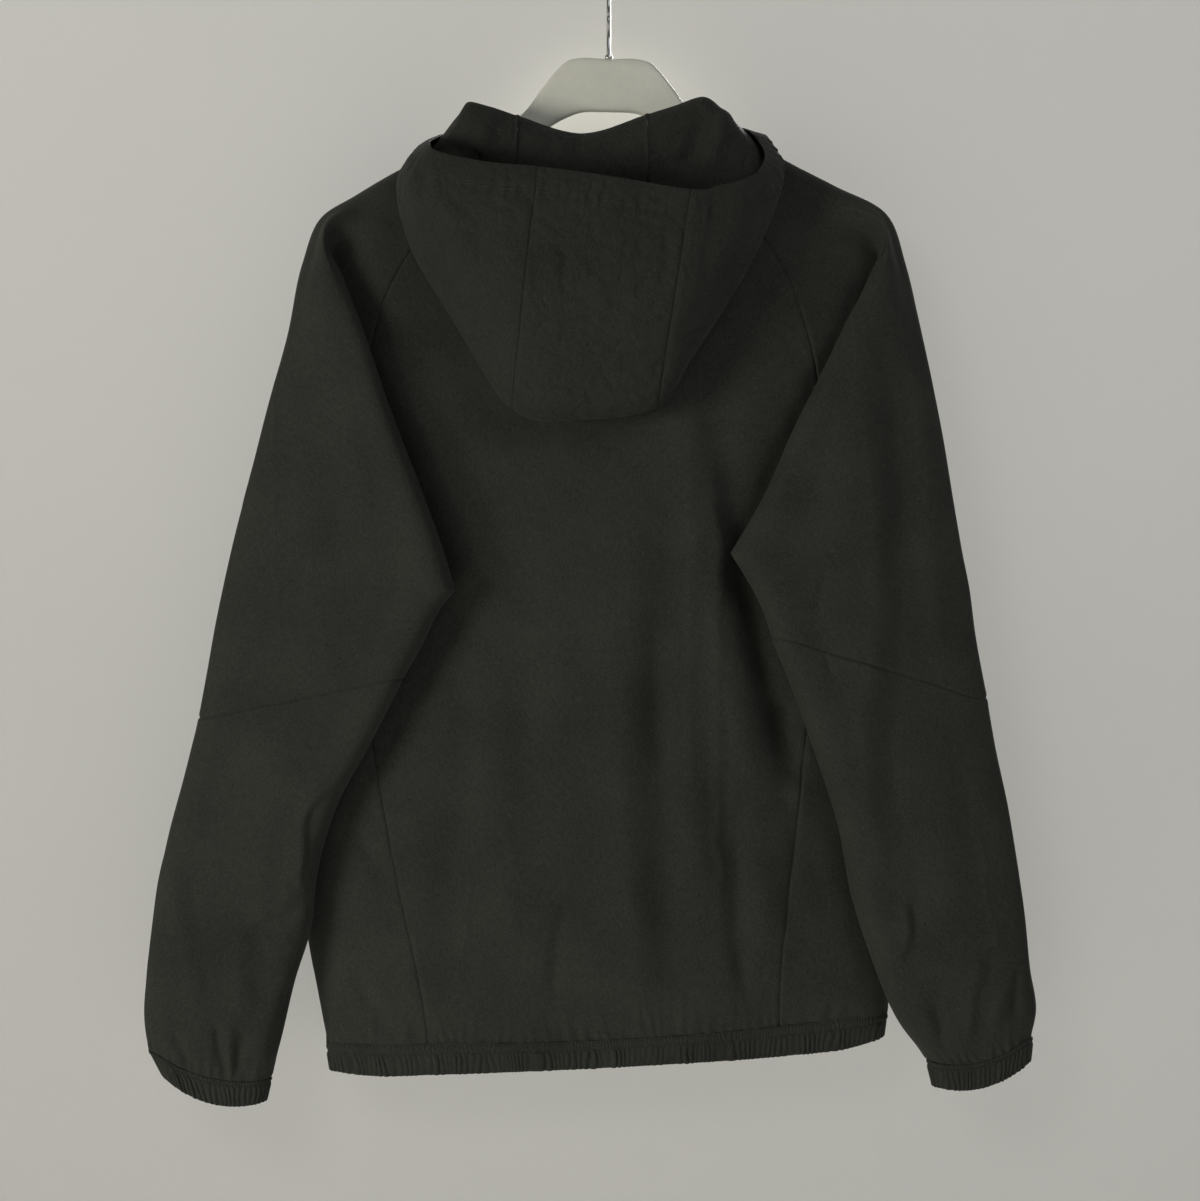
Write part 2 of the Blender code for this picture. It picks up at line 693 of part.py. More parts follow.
def tube_row(side, outer, outer_half, fold, fold_half, seam_part):
    """A row round a flattened sleeve, from its underarm seam on the far side and back to it."""
    outward = np.array((float(side), 0, 0))
    near = np.array((0, -1.0, 0))
    fold_centre = fold + outward * FOLD_REACH
    outer_centre = outer - outward * OUTER_REACH
    far_fold, near_fold = fold_centre - near * fold_half, fold_centre + near * fold_half
    far_outer, near_outer = outer_centre - near * outer_half, outer_centre + near * outer_half
    seam = mix(far_fold, far_outer, seam_part) + np.array((0, 2.0, 0))
    points = stretch(seam, far_fold, 4, skip_last=True)
    points += round_turn(fold_centre, -outward, FOLD_REACH, -fold_half, FOLD_STEPS)[:-1]
    points += stretch(near_fold, near_outer, FLAP_STEPS, -8, skip_last=True)
    points += round_turn(outer_centre, outward, OUTER_REACH, outer_half, OUTER_STEPS)
    points += stretch(far_outer, seam, 3, 3, skip_first=True)
    return points


def lower_sleeve_grid(side):
    rows = LEFT_FOREARM if side == LEFT else RIGHT_FOREARM
    grid = []
    for row in range(len(rows["row"])):
        outer = np.array((rows["outer"][row], rows["outer_y"][row], -rows["outer_drop"][row]))
        fold = np.array((rows["fold"][row], rows["fold_y"][row], -rows["fold_drop"][row]))
        line = tube_row(side, outer, rows["outer_half"][row], fold, rows["fold_half"][row], 0.32)
        for point in line:
            part = np.clip((point[0] - outer[0]) / (fold[0] - outer[0]), 0, 1)
            point[2] -= 4 * part * (1 - part) * rows["bow"][row]
        grid.append(line)
    return np.array(grid)


def make_lower_sleeve(side, name, material):
    half = SEAM_GAP / 2
    return cloth_sheet(name, trim(lower_sleeve_grid(side), half, half, half, half), material)


def gathered_band(name, top, bottom, gathers, channel, material):
    """A gathered band between two edge lines: waves on its outside over a plain inside.

    channel is the height of the plain stitched channel along its top, or 0.
    """
    across = np.gradient(top, axis=0)
    down = bottom - top
    outward = np.cross(down, across)
    outward /= np.linalg.norm(outward, axis=1, keepdims=True)
    height = np.linalg.norm(down, axis=1, keepdims=True)
    wave = GATHER_HEIGHT * (0.5 - 0.5 * np.cos(np.arange(len(top)) * math.pi))[:, None]
    low = CLOTH / 2
    stations = ((channel / height, 0.25),) if channel else ()
    outer = [top + outward * low]
    for part, share in stations:
        outer.append(top + down * part + outward * (low + wave * share))
    outer.append(top + down * 0.62 + outward * (low + wave))
    outer.append(bottom + outward * (low + wave * 0.8))
    inner = [top - outward * low, bottom - outward * low]
    return wall(name, np.array(outer), np.array(inner), material)


def make_hem(material):
    """The hem band runs from one side of the zip round the back to the other."""
    steps = HEM_GATHERS * 2
    middle_drop = 860.0
    zip_edge = ZIP_TAPE_WIDTH + SEAM_GAP
    left_turn = front_turn_at(LEFT, CENTRE_FRONT - zip_edge, middle_drop)
    right_turn = front_turn_at(RIGHT, CENTRE_FRONT + zip_edge, middle_drop)
    lines = []
    for column, gap in (("top", SEAM_GAP / 2), ("bottom", 0)):
        line = []
        for step in range(steps + 1):
            turn = mix(left_turn, -right_turn, step / steps)
            side = LEFT if turn > 0 else RIGHT
            x = body_point(side, abs(turn), middle_drop)[0]
            line.append(body_point(side, abs(turn), hem_line(column, x) + gap))
        lines.append(np.array(line))
    return gathered_band("hem_band", lines[0], lines[1], HEM_GATHERS, HEM_CHANNEL, material)


def make_cuff(row, name, material):
    steps = CUFF_GATHERS * 2
    side = int(CUFFS["side"][row])
    half = SEAM_GAP / 2
    grid = trim(lower_sleeve_grid(side), last_row=half, first_column=half, last_column=half)
    parts = np.arange(steps + 1) / steps
    top = along(grid[-1] + unit(np.mean(grid[-1] - grid[-2], axis=0)) * SEAM_GAP, parts)
    ends = []
    for place in ("top", "bottom"):
        for end in ("outer", "inner"):
            x, drop = CUFFS[f"{place}_{end}"][row], CUFFS[f"{place}_{end}_drop"][row]
            ends.append(np.array((x, CUFF_DEPTH_Y, -drop)))
    top_middle, bottom_middle = (ends[0] + ends[1]) / 2, (ends[2] + ends[3]) / 2
    top_arm, bottom_arm = ends[0] - ends[1], ends[2] - ends[3]
    across = ((top - top_middle) @ unit(top_arm)) / np.linalg.norm(top_arm)
    bottom = bottom_middle + across[:, None] * bottom_arm
    bottom[:, 1] += (top[:, 1] - top_middle[1]) * CUFF_NARROWING
    bottom[:, 2] -= np.clip(1 - 4 * across**2, 0, 1) * CUFFS["bow"][row]
    return gathered_band(name, top, bottom, CUFF_GATHERS, 0, material)


def neckline():
    """The neckline's points, from the zip on the left round the back to the zip on the right."""
    half = SEAM_GAP / 2
    left_front = trim(front_grid(LEFT), half)[0][::-1]
    left_sleeve = trim(sleeve_grid(LEFT), half)[0][::-1]
    back = []
    for step in range(BACK_COLUMNS + 1):
        part = step / BACK_COLUMNS
        x = mix(BACK_EDGES["left"][0], BACK_EDGES["right"][0], part)
        drop = mix(BACK_EDGES["left_drop"][0], BACK_EDGES["right_drop"][0], part)
        drop += 4 * part * (1 - part) * NECK_DIP
        back.append((x, back_y(x, drop), -drop))
    right_sleeve = trim(sleeve_grid(RIGHT), half)[0]
    right_front = trim(front_grid(RIGHT), half)[0]
    return np.concatenate([left_front, left_sleeve, np.array(back), right_sleeve, right_front])


def along(points, parts):
    """Points at given shares of a line's length."""
    lengths = np.concatenate([[0], np.cumsum(np.linalg.norm(np.diff(points, axis=0), axis=1))])
    places = np.asarray(parts) * lengths[-1]
    return np.stack([np.interp(places, lengths, points[:, axis]) for axis in range(3)], axis=1)


def hood_mark(part, place):
    """The ridge, bottom or lip point of a strip."""
    x, y, drop = (read(HOOD, f"{part}_{axis}", place) for axis in ("x", "y", "drop"))
    return np.array((x, y, -drop))


def hood_strip(base, place):
    """One strip of the hood from the neckline to the lip."""
    facing = math.radians(read(HOOD, "facing", place))
    out = np.array((math.cos(facing), math.sin(facing), 0))
    ridge, bottom, lip = (hood_mark(part, place) for part in ("ridge", "bottom", "lip"))
    over = ridge + out * 3.4
    inner_up = unit(over - bottom)
    outer_up = unit(lip - bottom)
    room = min(5, np.linalg.norm(over - bottom) / 4)
    reach = room + 1
    inner_bottom = bottom - out * room + inner_up * room * 0.7
    outer_bottom = bottom + out * reach + outer_up * room * 0.7
    swell = min(20, np.linalg.norm(lip - bottom) / 9)
    points = [base, mix(base, ridge, 0.5) + out * 1.0, ridge - np.array((0, 0, 1.5)), ridge + out * 1.7]
    points += [over - np.array((0, 0, 1.5))]
    for part in (0.3, 0.65):
        points.append(mix(over, inner_bottom, part) - out * 1.5 * math.sin(part * math.pi))
    points += [inner_bottom, bottom, outer_bottom]
    for part in (0.2, 0.45, 0.72):
        points.append(mix(outer_bottom, lip, part) + out * swell * math.sin(part * math.pi))
    points.append(lip)
    return points


def hood_grid(places):
    line = neckline()
    grid = []
    for place in places:
        share = read(NECK, "share", place)
        before, base, after = along(line, [share - 0.012, share, share + 0.012])
        tangent = unit(after - before)
        rise = hood_mark("ridge", place) - base
        rise = unit(rise - tangent * np.dot(rise, tangent))
        grid.append(hood_strip(base + rise * read(NECK, "gap", place), place))
    return np.array(grid).transpose(1, 0, 2)


def hood_places(first, last):
    """Strip places, close together where the neckline crosses the shoulders."""
    middle = HOOD["place"][-1] / 2
    places = []
    for start, (from_place, step) in enumerate(HOOD_STEPS):
        to_place = HOOD_STEPS[start + 1][0] if start + 1 < len(HOOD_STEPS) else middle
        count = round((to_place - from_place) / step)
        places += [from_place + number * step for number in range(count)]
    places += [middle] + [2 * middle - place for place in places[::-1]]
    return [place for place in places if first <= place <= last]


def make_hood(material):
    half = SEAM_GAP / 2
    left_seam, right_seam = HOOD_SEAMS
    left = hood_grid(hood_places(0, left_seam))
    centre = hood_grid(hood_places(left_seam, right_seam))
    right = hood_grid(hood_places(right_seam, HOOD["place"][-1]))
    cloth_sheet("hood_side_left", trim(left, last_column=half), material)
    cloth_sheet("hood_centre", trim(centre, first_column=half, last_column=half), material)
    cloth_sheet("hood_side_right", trim(right, first_column=half), material)


def hanger_section(out):
    """Points round the hanger's arm at a distance from its middle."""
    top, bottom, half = (read(HANGER, column, abs(out)) for column in ("top", "bottom", "half"))
    middle, height = (top + bottom) / 2, (bottom - top) / 2
    points = []
    for step in range(HANGER_SIDES):
        angle = 2 * math.pi * (step + 0.5) / HANGER_SIDES
        across = math.copysign(abs(math.cos(angle)) ** HANGER_CORNERS, math.cos(angle))
        rise = math.copysign(abs(math.sin(angle)) ** HANGER_CORNERS, math.sin(angle))
        points.append((out, half * across, -middle + height * rise - HANGER_TILT * out))
    return points


def make_hanger(plastic, steel):
    """The moulded arm with its arched middle, and the bent wire hook with its collar."""
    places = HANGER["out"]
    stations = np.concatenate([-places[:0:-1], places])
    points = []
    for out in stations:
        points += hanger_section(out)
    make_solid("hanger", points, tube_faces(len(stations), HANGER_SIDES), plastic)

    hump = HANGER["top"][0]
    wire = HOOK_WIRE / 2
    centre_z = wire - HOOK_RADIUS
    path = [(0, 0, -hump + SEAM_GAP), (0, 0, -hump + COLLAR_HEIGHT), (0, 0, -hump + COLLAR_HEIGHT + 0.4)]
    radii = [COLLAR_RADIUS, COLLAR_RADIUS, wire]
    path.append((0, 0, -STEM_TOP))
    radii.append(wire)
    # The wire swings back to the circle's rear, goes over the top and ends at the front.
    rear = math.radians(HOOK_START)
    join = np.array((0, HOOK_RADIUS * math.cos(rear), centre_z + HOOK_RADIUS * math.sin(rear)))
    for step in range(1, 6):
        part = step / 6
        path.append((0, join[1] * ease(part), mix(-STEM_TOP, join[2], part**0.92)))
        radii.append(wire)
    for step in range(21):
        angle = math.radians(mix(HOOK_START, HOOK_END, step / 20))
        path.append((0, HOOK_RADIUS * math.cos(angle), centre_z + HOOK_RADIUS * math.sin(angle)))
        radii.append(wire)
    sweep("hook", path, radii, HOOK_SIDES, steel)


def front_surface(drop):
    return body_section(drop)[3]


def make_strip(name, x_low, x_high, y_shift, depth, material):
    """A flat strip that follows the front from the top of the zip to its foot."""
    grid = []
    for step in range(STRIP_STEPS + 1):
        drop = mix(FRONT_EDGES["zip_drop"][0] + ZIP_START, ZIP_END_DROP, step / STRIP_STEPS)
        y = front_surface(drop) + y_shift
        grid.append([(x_low, y, -drop), (x_high, y, -drop)])
    return cloth_sheet(name, np.array(grid), material, depth)


def block(name, centre, size, material):
    """A plain box."""
    half = np.array(size) / 2
    corners = [(sx, sy, sz) for sx in (-1, 1) for sy in (-1, 1) for sz in (-1, 1)]
    points = [np.array(centre) + half * np.array(corner) for corner in corners]
    faces = [[0, 1, 3, 2], [4, 6, 7, 5], [0, 4, 5, 1], [2, 3, 7, 6], [0, 2, 6, 4], [1, 5, 7, 3]]
    return make_solid(name, points, faces, material, sharp=30)


def make_zip(tape, metal):
    """Tapes, closed chain, slider with its bridge, and the swinging pull tab."""
    middle, gap, half_chain = CENTRE_FRONT, SEAM_GAP / 2, CHAIN_WIDTH / 2
    make_strip("zip_tape_left", middle - ZIP_TAPE_WIDTH, middle - gap, 0, CLOTH, tape)
    make_strip("zip_tape_right", middle + gap, middle + ZIP_TAPE_WIDTH, 0, CLOTH, tape)
    chain_y = CLOTH / 2 + SEAM_GAP + CHAIN_DEPTH / 2
    make_strip("zip_chain", middle - half_chain, middle + half_chain, chain_y, CHAIN_DEPTH, tape)

    surface = front_surface(SLIDER_DROP) + chain_y + CHAIN_DEPTH / 2 + SEAM_GAP + 0.4
    slider = block(
        "zip_slider",
        (CENTRE_FRONT, surface + SLIDER_DEPTH / 2, -SLIDER_DROP),
        (SLIDER_WIDTH, SLIDER_DEPTH, SLIDER_HEIGHT),
        metal,
    )
    face = surface + SLIDER_DEPTH
    outer_half = [(-BRIDGE_HALF_LENGTH, -1), (-BRIDGE_HALF_LENGTH, BRIDGE_RISE - 1), (-3.2, BRIDGE_RISE)]
    inner_reach, inner_rise = BRIDGE_HALF_LENGTH - BRIDGE_WALL, BRIDGE_RISE - BRIDGE_WALL
    loop = outer_half + [(-along_z, rise) for along_z, rise in outer_half[::-1]]
    loop += [(inner_reach, -1), (inner_reach, inner_rise), (-inner_reach, inner_rise), (-inner_reach, -1)]
    points = []
    for side in (LEFT, RIGHT):
        x = CENTRE_FRONT + side * BRIDGE_WIDTH / 2
        points += [(x, face + rise, -SLIDER_DROP + along_z) for along_z, rise in loop]
    count = len(loop)
    faces = [list(range(count)), list(range(2 * count - 1, count - 1, -1))]
    for step in range(count):
        after = (step + 1) % count
        faces.append([step, count + step, count + after, after])
    bridge = make_solid("zip_bridge", points, faces, metal, sharp=30)
    bridge.hide_render = True
    bridge.display_type = "WIRE"
    union = slider.modifiers.new("bridge", "BOOLEAN")
    union.operation = "UNION"
    union.object = bridge

    # The tab's top bar turns under the bridge, so its object's origin is on that bar's axis.
    half_bar = PULL_BAR / 2
    pivot = np.array((CENTRE_FRONT, face + PULL_BAR_HEIGHT, -SLIDER_DROP))
    half_width, half_window = PULL_WIDTH / 2, PULL_WINDOW_WIDTH / 2
    outline = [
        (-half_width, half_bar),
        (half_width, half_bar),
        (half_width, -PULL_LENGTH + 2),
        (half_width - 1.6, -PULL_LENGTH),
        (-half_width + 1.6, -PULL_LENGTH),
        (-half_width, -PULL_LENGTH + 2),
    ]
    window = [
        (-half_window, -half_bar),
        (half_window, -half_bar),
        (half_window, -PULL_WINDOW_LENGTH),
        (-half_window, -PULL_WINDOW_LENGTH),
    ]
    points = [(x, y, z) for y in (-half_bar, half_bar) for x, z in outline + window]
    count = len(outline) + len(window)
    ring = [[0, 1, 7, 6], [1, 2, 8, 7], [2, 5, 9, 8], [5, 0, 6, 9], [2, 3, 4, 5]]
    faces = [face_points[::-1] for face_points in ring]
    faces += [[count + point for point in face_points] for face_points in ring]
    for start, size in ((0, 6), (6, 4)):
        for step in range(size):
            one, two = start + step, start + (step + 1) % size
            face_points = [one, two, count + two, count + one]
            faces.append(face_points if start == 0 else face_points[::-1])
    pull = make_solid("zip_pull", points, faces, metal, sharp=30)
    pull.location = tuple(pivot * MM)


def main():
    for old in list(bpy.data.objects):
        bpy.data.objects.remove(old)
    shell = finish("shell_cloth", (0.036, 0.038, 0.030), 0.8, sheen=0.2)
    gathered = finish("gathered_cloth", (0.034, 0.036, 0.029), 0.85, sheen=0.2)
    tape = finish("zip_tape", (0.02, 0.021, 0.018), 0.7)
    metal = finish("zip_metal", (0.05, 0.05, 0.045), 0.35, metallic=1.0)
    plastic = finish("hanger_plastic", (0.42, 0.42, 0.36), 0.45)
    steel = finish("hook_steel", (0.6, 0.6, 0.58), 0.25, metallic=1.0)

    make_back(shell)
    make_front(LEFT, "front_left", shell)
    make_front(RIGHT, "front_right", shell)
    make_upper_sleeve(LEFT, "sleeve_upper_left", shell)
    make_upper_sleeve(RIGHT, "sleeve_upper_right", shell)
    make_lower_sleeve(LEFT, "sleeve_lower_left", shell)
    make_lower_sleeve(RIGHT, "sleeve_lower_right", shell)
    make_hem(gathered)
    make_cuff(0, "cuff_left", gathered)
    make_cuff(1, "cuff_right", gathered)
    make_hood(shell)
    make_zip(tape, metal)
    make_hanger(plastic, steel)


main()
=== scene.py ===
"""Looks of the hooded windbreaker jacket on its hanger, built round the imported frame.

Cloth pieces are worked out in millimetres, in the frame's own axes: +X right of someone who looks
at the jacket's back, +Y out of its zipped front, +Z up from where the hook rests. "drop" is the
distance below that point. Rows run down a piece and columns across it.
"""

import math

import bpy
import mathutils
import numpy as np
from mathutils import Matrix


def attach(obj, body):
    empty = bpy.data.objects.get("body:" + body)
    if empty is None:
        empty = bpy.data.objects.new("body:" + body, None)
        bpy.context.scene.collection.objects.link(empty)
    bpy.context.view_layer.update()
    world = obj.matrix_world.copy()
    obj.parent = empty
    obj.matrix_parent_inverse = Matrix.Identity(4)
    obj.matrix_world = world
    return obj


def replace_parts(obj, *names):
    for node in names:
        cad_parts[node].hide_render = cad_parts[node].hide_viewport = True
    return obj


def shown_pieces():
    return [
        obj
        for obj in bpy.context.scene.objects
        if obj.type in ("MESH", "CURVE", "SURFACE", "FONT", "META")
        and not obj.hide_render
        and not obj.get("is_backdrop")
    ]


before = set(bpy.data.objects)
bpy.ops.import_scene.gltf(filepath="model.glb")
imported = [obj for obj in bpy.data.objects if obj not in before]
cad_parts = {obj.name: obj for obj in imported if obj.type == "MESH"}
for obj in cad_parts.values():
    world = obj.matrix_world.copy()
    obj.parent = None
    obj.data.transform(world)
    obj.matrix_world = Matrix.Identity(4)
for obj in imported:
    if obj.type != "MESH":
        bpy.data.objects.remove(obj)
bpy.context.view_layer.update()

BODY_NAME = "jacket_on_hanger"
MM = 0.001
LEFT, RIGHT = -1, 1
SIDE_NAMES = {LEFT: "left", RIGHT: "right"}
# Where the zip lies across, and how far apart pieces stand at their seams.
CENTRE_FRONT, SEAM_GAP = -6.0, 0.3
# Exponent of the body tube's section: 2 would be an ellipse.
ROUNDNESS = 2.6
# A cloth wall has one row inside for so many outside.
INNER_STEP = 4


def table(text):
    """A table as a dictionary of number lists, one a line. The first list is its key."""
    lines = [line.split() for line in text.strip().splitlines()]
    return {name: np.array(numbers, float) for name, *numbers in lines}


# The body as a flattened tube: its two side folds, and how far the back and front stand out.
BODY = table("""
  drop   110  170  223  300  415  482  545  613  715  772  815  850  905
  left  -205 -230 -245 -245 -232 -222 -237 -244 -244 -240 -232 -226 -217
  right  185  210  222  215  200  191  207  217  225  227  224  220  211
  back    15   20   24   27   31   33   34   36   37   36   32   27   25
  front   15   20   24   26   28   29   30   30   30   29   26   23   22
""")
# The two long edges of the back panel: raglan seams down to the underarm at row 10, then the side
# seams, which lie on the back of the jacket.
BACK_EDGES = table("""
  row          0    1    2    3    4    5    6    7    8     9   10   11   12    13   14   15   16   17     18
  left      -107 -131 -155 -176 -188 -194 -198 -203 -206  -207 -208 -203 -196  -185 -175 -164 -152 -145 -143.5
  left_drop  170  194  223  260  300  350  382  415  449   466  482  530  575   628  680  735  790  832  853.8
  right       82  103  122  142  155  166  170  173  175 175.5  176  171  163 155.5  150  143  137  135    136
  right_drop 164  188  215  246  281  325  360  395  431   449  467  515  562   615  668  724  780  818    839
""")
UNDERARM, LAST_ROW = 10, 18
# How far the neckline dips in the middle of the back.
NECK_DIP = 14.0
# Front raglan seam, and the matching drop at the zip. "turn" goes round the body tube: 0 is the
# middle of the back, 1 the side fold and 2 the middle of the front.
FRONT_EDGES = table("""
  row            0     1     2     3     4     5     6     7     8   9    10
  left_turn  1.763 1.716 1.669 1.621 1.571 1.511 1.445 1.363 1.254   1 0.732
  left_drop    185   207   234   266   300   338   370   404   437 462   482
  right_turn 1.763 1.716 1.669 1.621 1.571 1.511 1.445 1.363 1.254   1 0.707
  right_drop   179   200   226   256   288   325   356   390   423 447   467
  zip_drop     239   255   275   299   326   358   388   419   450 470   490
""")
# Top and bottom lines of the hem band, as drops at distances across.
HEM = table("""
  across  -226 -190  -143   -61    50   142   195   220
  top    855.5  855 853.8   852 846.7 838.8 833.8   832
  bottom 877.5  880 878.3 874.8 869.2   863 857.3 850.5
""")
# Soft upright folds of the back: a trough with a ridge beside it, from one point to another.
BACK_FOLDS = table("""
  x_high     86 112  34  84 -118 -60
  drop_high 330 470 520 620  640 560
  x_low     104 140  40  98 -126 -76
  drop_low  520 640 640 740  800 700
  width      30  26  30  28   30  34
  depth       4 3.5 3.5   4  2.5 2.5
""")
# Rows of the upper sleeves. Rows 0 to 3 cross the shoulder and row 4 ends on its tip. From there
# the cloth folds back under itself: "fold" is the edge that shows, "tuck" the one beneath it,
# "outer" the outer edge. "_y" is the depth of an edge's middle and "_half" half its thickness.
# "tuck_gap" is how far apart the two layers lie at the tuck.
UPPER_SHARED = table("""
  row         0  1  2  3   4   5   6   7   8   9  10  11  12  13
  outer_y     0  0  0  0  -3 -10 -17 -24 -29 -32 -33 -34 -34 -34
  outer_half 13 15 17 19  20  17  14  12  10   9   8   8   8   8
  fold_half   0  0  0  0 1.5   3   4   5   6   7   8   8 8.5   9
  tuck_gap    0  0  0  0 2.4 3.5   5   7   8   7   3   0   0   0
""")
UPPER_SLEEVES = {
    LEFT: UPPER_SHARED | table("""
    outer       -120 -145 -172 -202  -229 -243 -254 -269 -283 -294   -303 -309 -315   -322
    outer_drop 134.5  148  162  180 198.5  235  292  350  408  452    492  522  556  594.5
    fold           0    0    0    0  -222 -210 -194 -172 -147 -131 -119.5 -132 -145 -160.8
    fold_drop      0    0    0    0   215  247  287  350  415  458  494.6  510  536    564
    fold_y         0    0    0    0   -25  -33  -42  -49  -54  -57    -58  -56  -54    -52
    tuck           0    0    0    0  -220 -215 -215 -217 -218 -216   -205 -200 -204   -212
    tuck_drop      0    0    0    0   224  265  308  362  420  452    486  512  543    574
    """),
    RIGHT: UPPER_SHARED | table("""
    outer         97 122   150   181   222 236 245   254   263 271 278   283 288   297
    outer_drop 127.5 141 156.5 172.5 196.5 237 279   325   374 425 466   492 530   579
    fold           0   0     0     0   219 207 187 166.8 143.5 120  95 107.6 120 127.8
    fold_drop      0   0     0     0   215 244 285   328   374 424 466   486 509   532
    fold_y         0   0     0     0   -25 -33 -42   -48   -53 -56 -58   -56 -54   -53
    tuck           0   0     0     0   216 204 193   192   191 187 172   168 172   178
    tuck_drop      0   0     0     0   223 262 302   346   390 428 468   490 518   548
    """),
}
# How a shoulder row shares its columns: those that become the yoke end at "yoke" and those that
# become the hidden fold end at "split", as parts of the way up the back.
SHOULDER = table("""
  row      0    1    2    3
  yoke  0.24 0.34 0.48 0.68
  split  0.5 0.58 0.68 0.84
""")
# The row that ends on the shoulder tip.
SHOULDER_TIP = 4
# Columns across a sleeve: the yoke, the hidden fold, its turn, the flap that shows, the outer turn
# and the far side.
YOKE_STEPS, MIDDLE_STEPS, FOLD_STEPS, FLAP_STEPS, OUTER_STEPS, FAR_STEPS = 4, 2, 2, 4, 4, 4
# How far in from its edge a sleeve starts to turn: at the fold, the outer edge and the shoulder.
FOLD_REACH, OUTER_REACH, SHOULDER_REACH = 4.0, 5.0, 9.0
# Where a lower sleeve's seam runs on its far side, from the fold to the outer edge.
SEAM_PART = 0.32
# Rows of the lower sleeves, from the elbow seam to the cuff. "bow" is how much lower the cloth
# hangs between its two edges.
LOWER_SHARED = table("""
  row          0   1   2   3   4   5   6   7
  outer_y    -34 -34 -34 -34 -34 -33 -32 -31
  outer_half   8   8   8   8   8   9   9   7
  fold_half    9   9   9   9   9   9   9   7
  bow          0   0   0   0   0   1   4   9
""")
LOWER_SLEEVES = {
    LEFT: LOWER_SHARED | table("""
    outer        -322 -334 -346 -354 -359 -363 -365 -362
    outer_drop  595.3  643  688  728  765  800  835  856
    fold       -160.8 -189 -212 -229 -235 -247 -258 -266
    fold_drop   564.8  619  661  716  762  800  846  878
    fold_y        -52  -48  -43  -37  -32  -30  -29  -29
    """),
    RIGHT: LOWER_SHARED | table("""
    outer        297 304 313 321 327 331 336 333
    outer_drop 579.8 620 662 710 752 792 826 846
    fold       127.8 144 163 181 192 208 229 251
    fold_drop  532.8 572 622 675 738 787 835 864
    fold_y       -53 -50 -46 -42 -37 -33 -30 -29
    """),
}
# Cuffs, left and right: the two ends of the top and bottom lines, and how much lower the middle
# of the mouth is.
CUFFS = table("""
  side                 -1     1
  top_outer          -362   333
  top_outer_drop    856.5 846.5
  top_inner          -266   251
  top_inner_drop    878.5 864.5
  bottom_outer       -351   331
  bottom_outer_drop   877   866
  bottom_inner       -271   256
  bottom_inner_drop   897   885
  bow                  10     9
""")
# Depth of the cuffs' mouths, and how much of its thickness a cuff keeps there.
CUFF_DEPTH_Y, CUFF_NARROWING = -30.0, 0.9
# Hood strips from the front edge on the left (place 0), round the back (place 9 is its middle), to
# the front edge on the right (place 18). Each strip rises from the neckline to its ridge, folds out
# towards "facing" (degrees), falls to its bottom fold and climbs the outside to its lip.
HOOD = table("""
  place           0   1    2    3    4    5    6    7     8     9  10    11  12  13  14  15  16  17    18
  ridge_x        -9 -50  -92 -115 -118 -114 -109  -93 -71.5   -21  30    52  74  90  96  95  76  36    -3
  ridge_y        26  27   22    6  -12  -25  -33  -34   -34   -34 -34   -34 -33 -25 -12   6  22  27    26
  ridge_drop    180 163  144  127  121  115  111  115   122   136 121   114 107 116 120 121 144 163   180
  bottom_x       -9 -60 -112 -140 -155 -164 -153 -121   -75   -22  38    64 105 130 134 116  97  46    -3
  bottom_y       30  37   34   10  -28  -40  -50  -54   -56   -58 -56   -54 -50 -46 -32  10  34  37    30
  bottom_drop   182 175  167  137  157  184  230  285   354   362 352   315 249 193 160 130 167 175   182
  lip_x          -9 -52  -97 -127 -137 -139 -131  -95 -54.5    -4  63    84 104 117 122 105  81  38    -3
  lip_y          31  38   33    8  -34  -62  -76  -84   -88   -90 -88   -84 -76 -62 -34   8  33  38    31
  lip_drop    180.5 164  145  130  139  148  157  166 170.5 177.5 188 184.5 178 168 148 124 145 164 180.5
  facing         90 100  130  175  205  235  250  262   270   270 270   278 290 300 330 365 410 440   450
""")
# Where each hood strip stands on the neckline, as a share of its length, and its gap above it.
NECK = table("""
  place 0 1 2 3 4 5 6 7 8 9 10 11 12 13 14 15 16 17 18
  share 0 0.08 0.19 0.285 0.325 0.348 0.368 0.385 0.402 0.5 0.577 0.6 0.624 0.648 0.68 0.735 0.815 0.92 1
  gap 0.5 0.5 0.7 1.3 1 0.8 0.6 0.5 0.5 0.5 0.5 0.5 0.6 0.8 1 1.1 0.7 0.5 0.5
""")
# Width of the hood's folded ridge, and how much lower its two sides are than its top.
RIDGE_WIDTH, RIDGE_HEIGHT = 3.4, 1.5
# The hanger's arm, from its middle out: top and bottom drops and half its depth. The hanger tilts
# a little, its right arm down, so that the cloth rests on both arms.
HANGER = table("""
  out      0  26  33  39  52  66 100 140   175 200 212 217
  top     70  70  72  77  93 112 129 150 169.3 185 194 198
  bottom 112 114 117 120 129 143 161 179   196 207 211 208
  half     6   6   6   6 6.5   7   8  10    12  13  11   6
""")
# The arm's slope, how far it reaches to each side, and the exponent that rounds its section.
HANGER_TILT, HANGER_REACH, HANGER_CORNERS = 0.0195, 217, 0.6
# The hook: its wire's thickness, its bend's radius, start and end in degrees, and the drop at which
# its stem begins to lean.
HOOK_WIRE, HOOK_RADIUS, HOOK_START, HOOK_END, STEM_TOP = 3.5, 20.0, -50.0, 200.0, 56.0
# The zip: how wide each tape is, the drop of the front edges' lower ends, how far below the front
# edges' upper ends it starts, and the drop at which it ends.
ZIP_TAPE_WIDTH, ZIP_FOOT_DROP, ZIP_START, ZIP_END_DROP = 6.0, 850.5, 2.0, 870.0


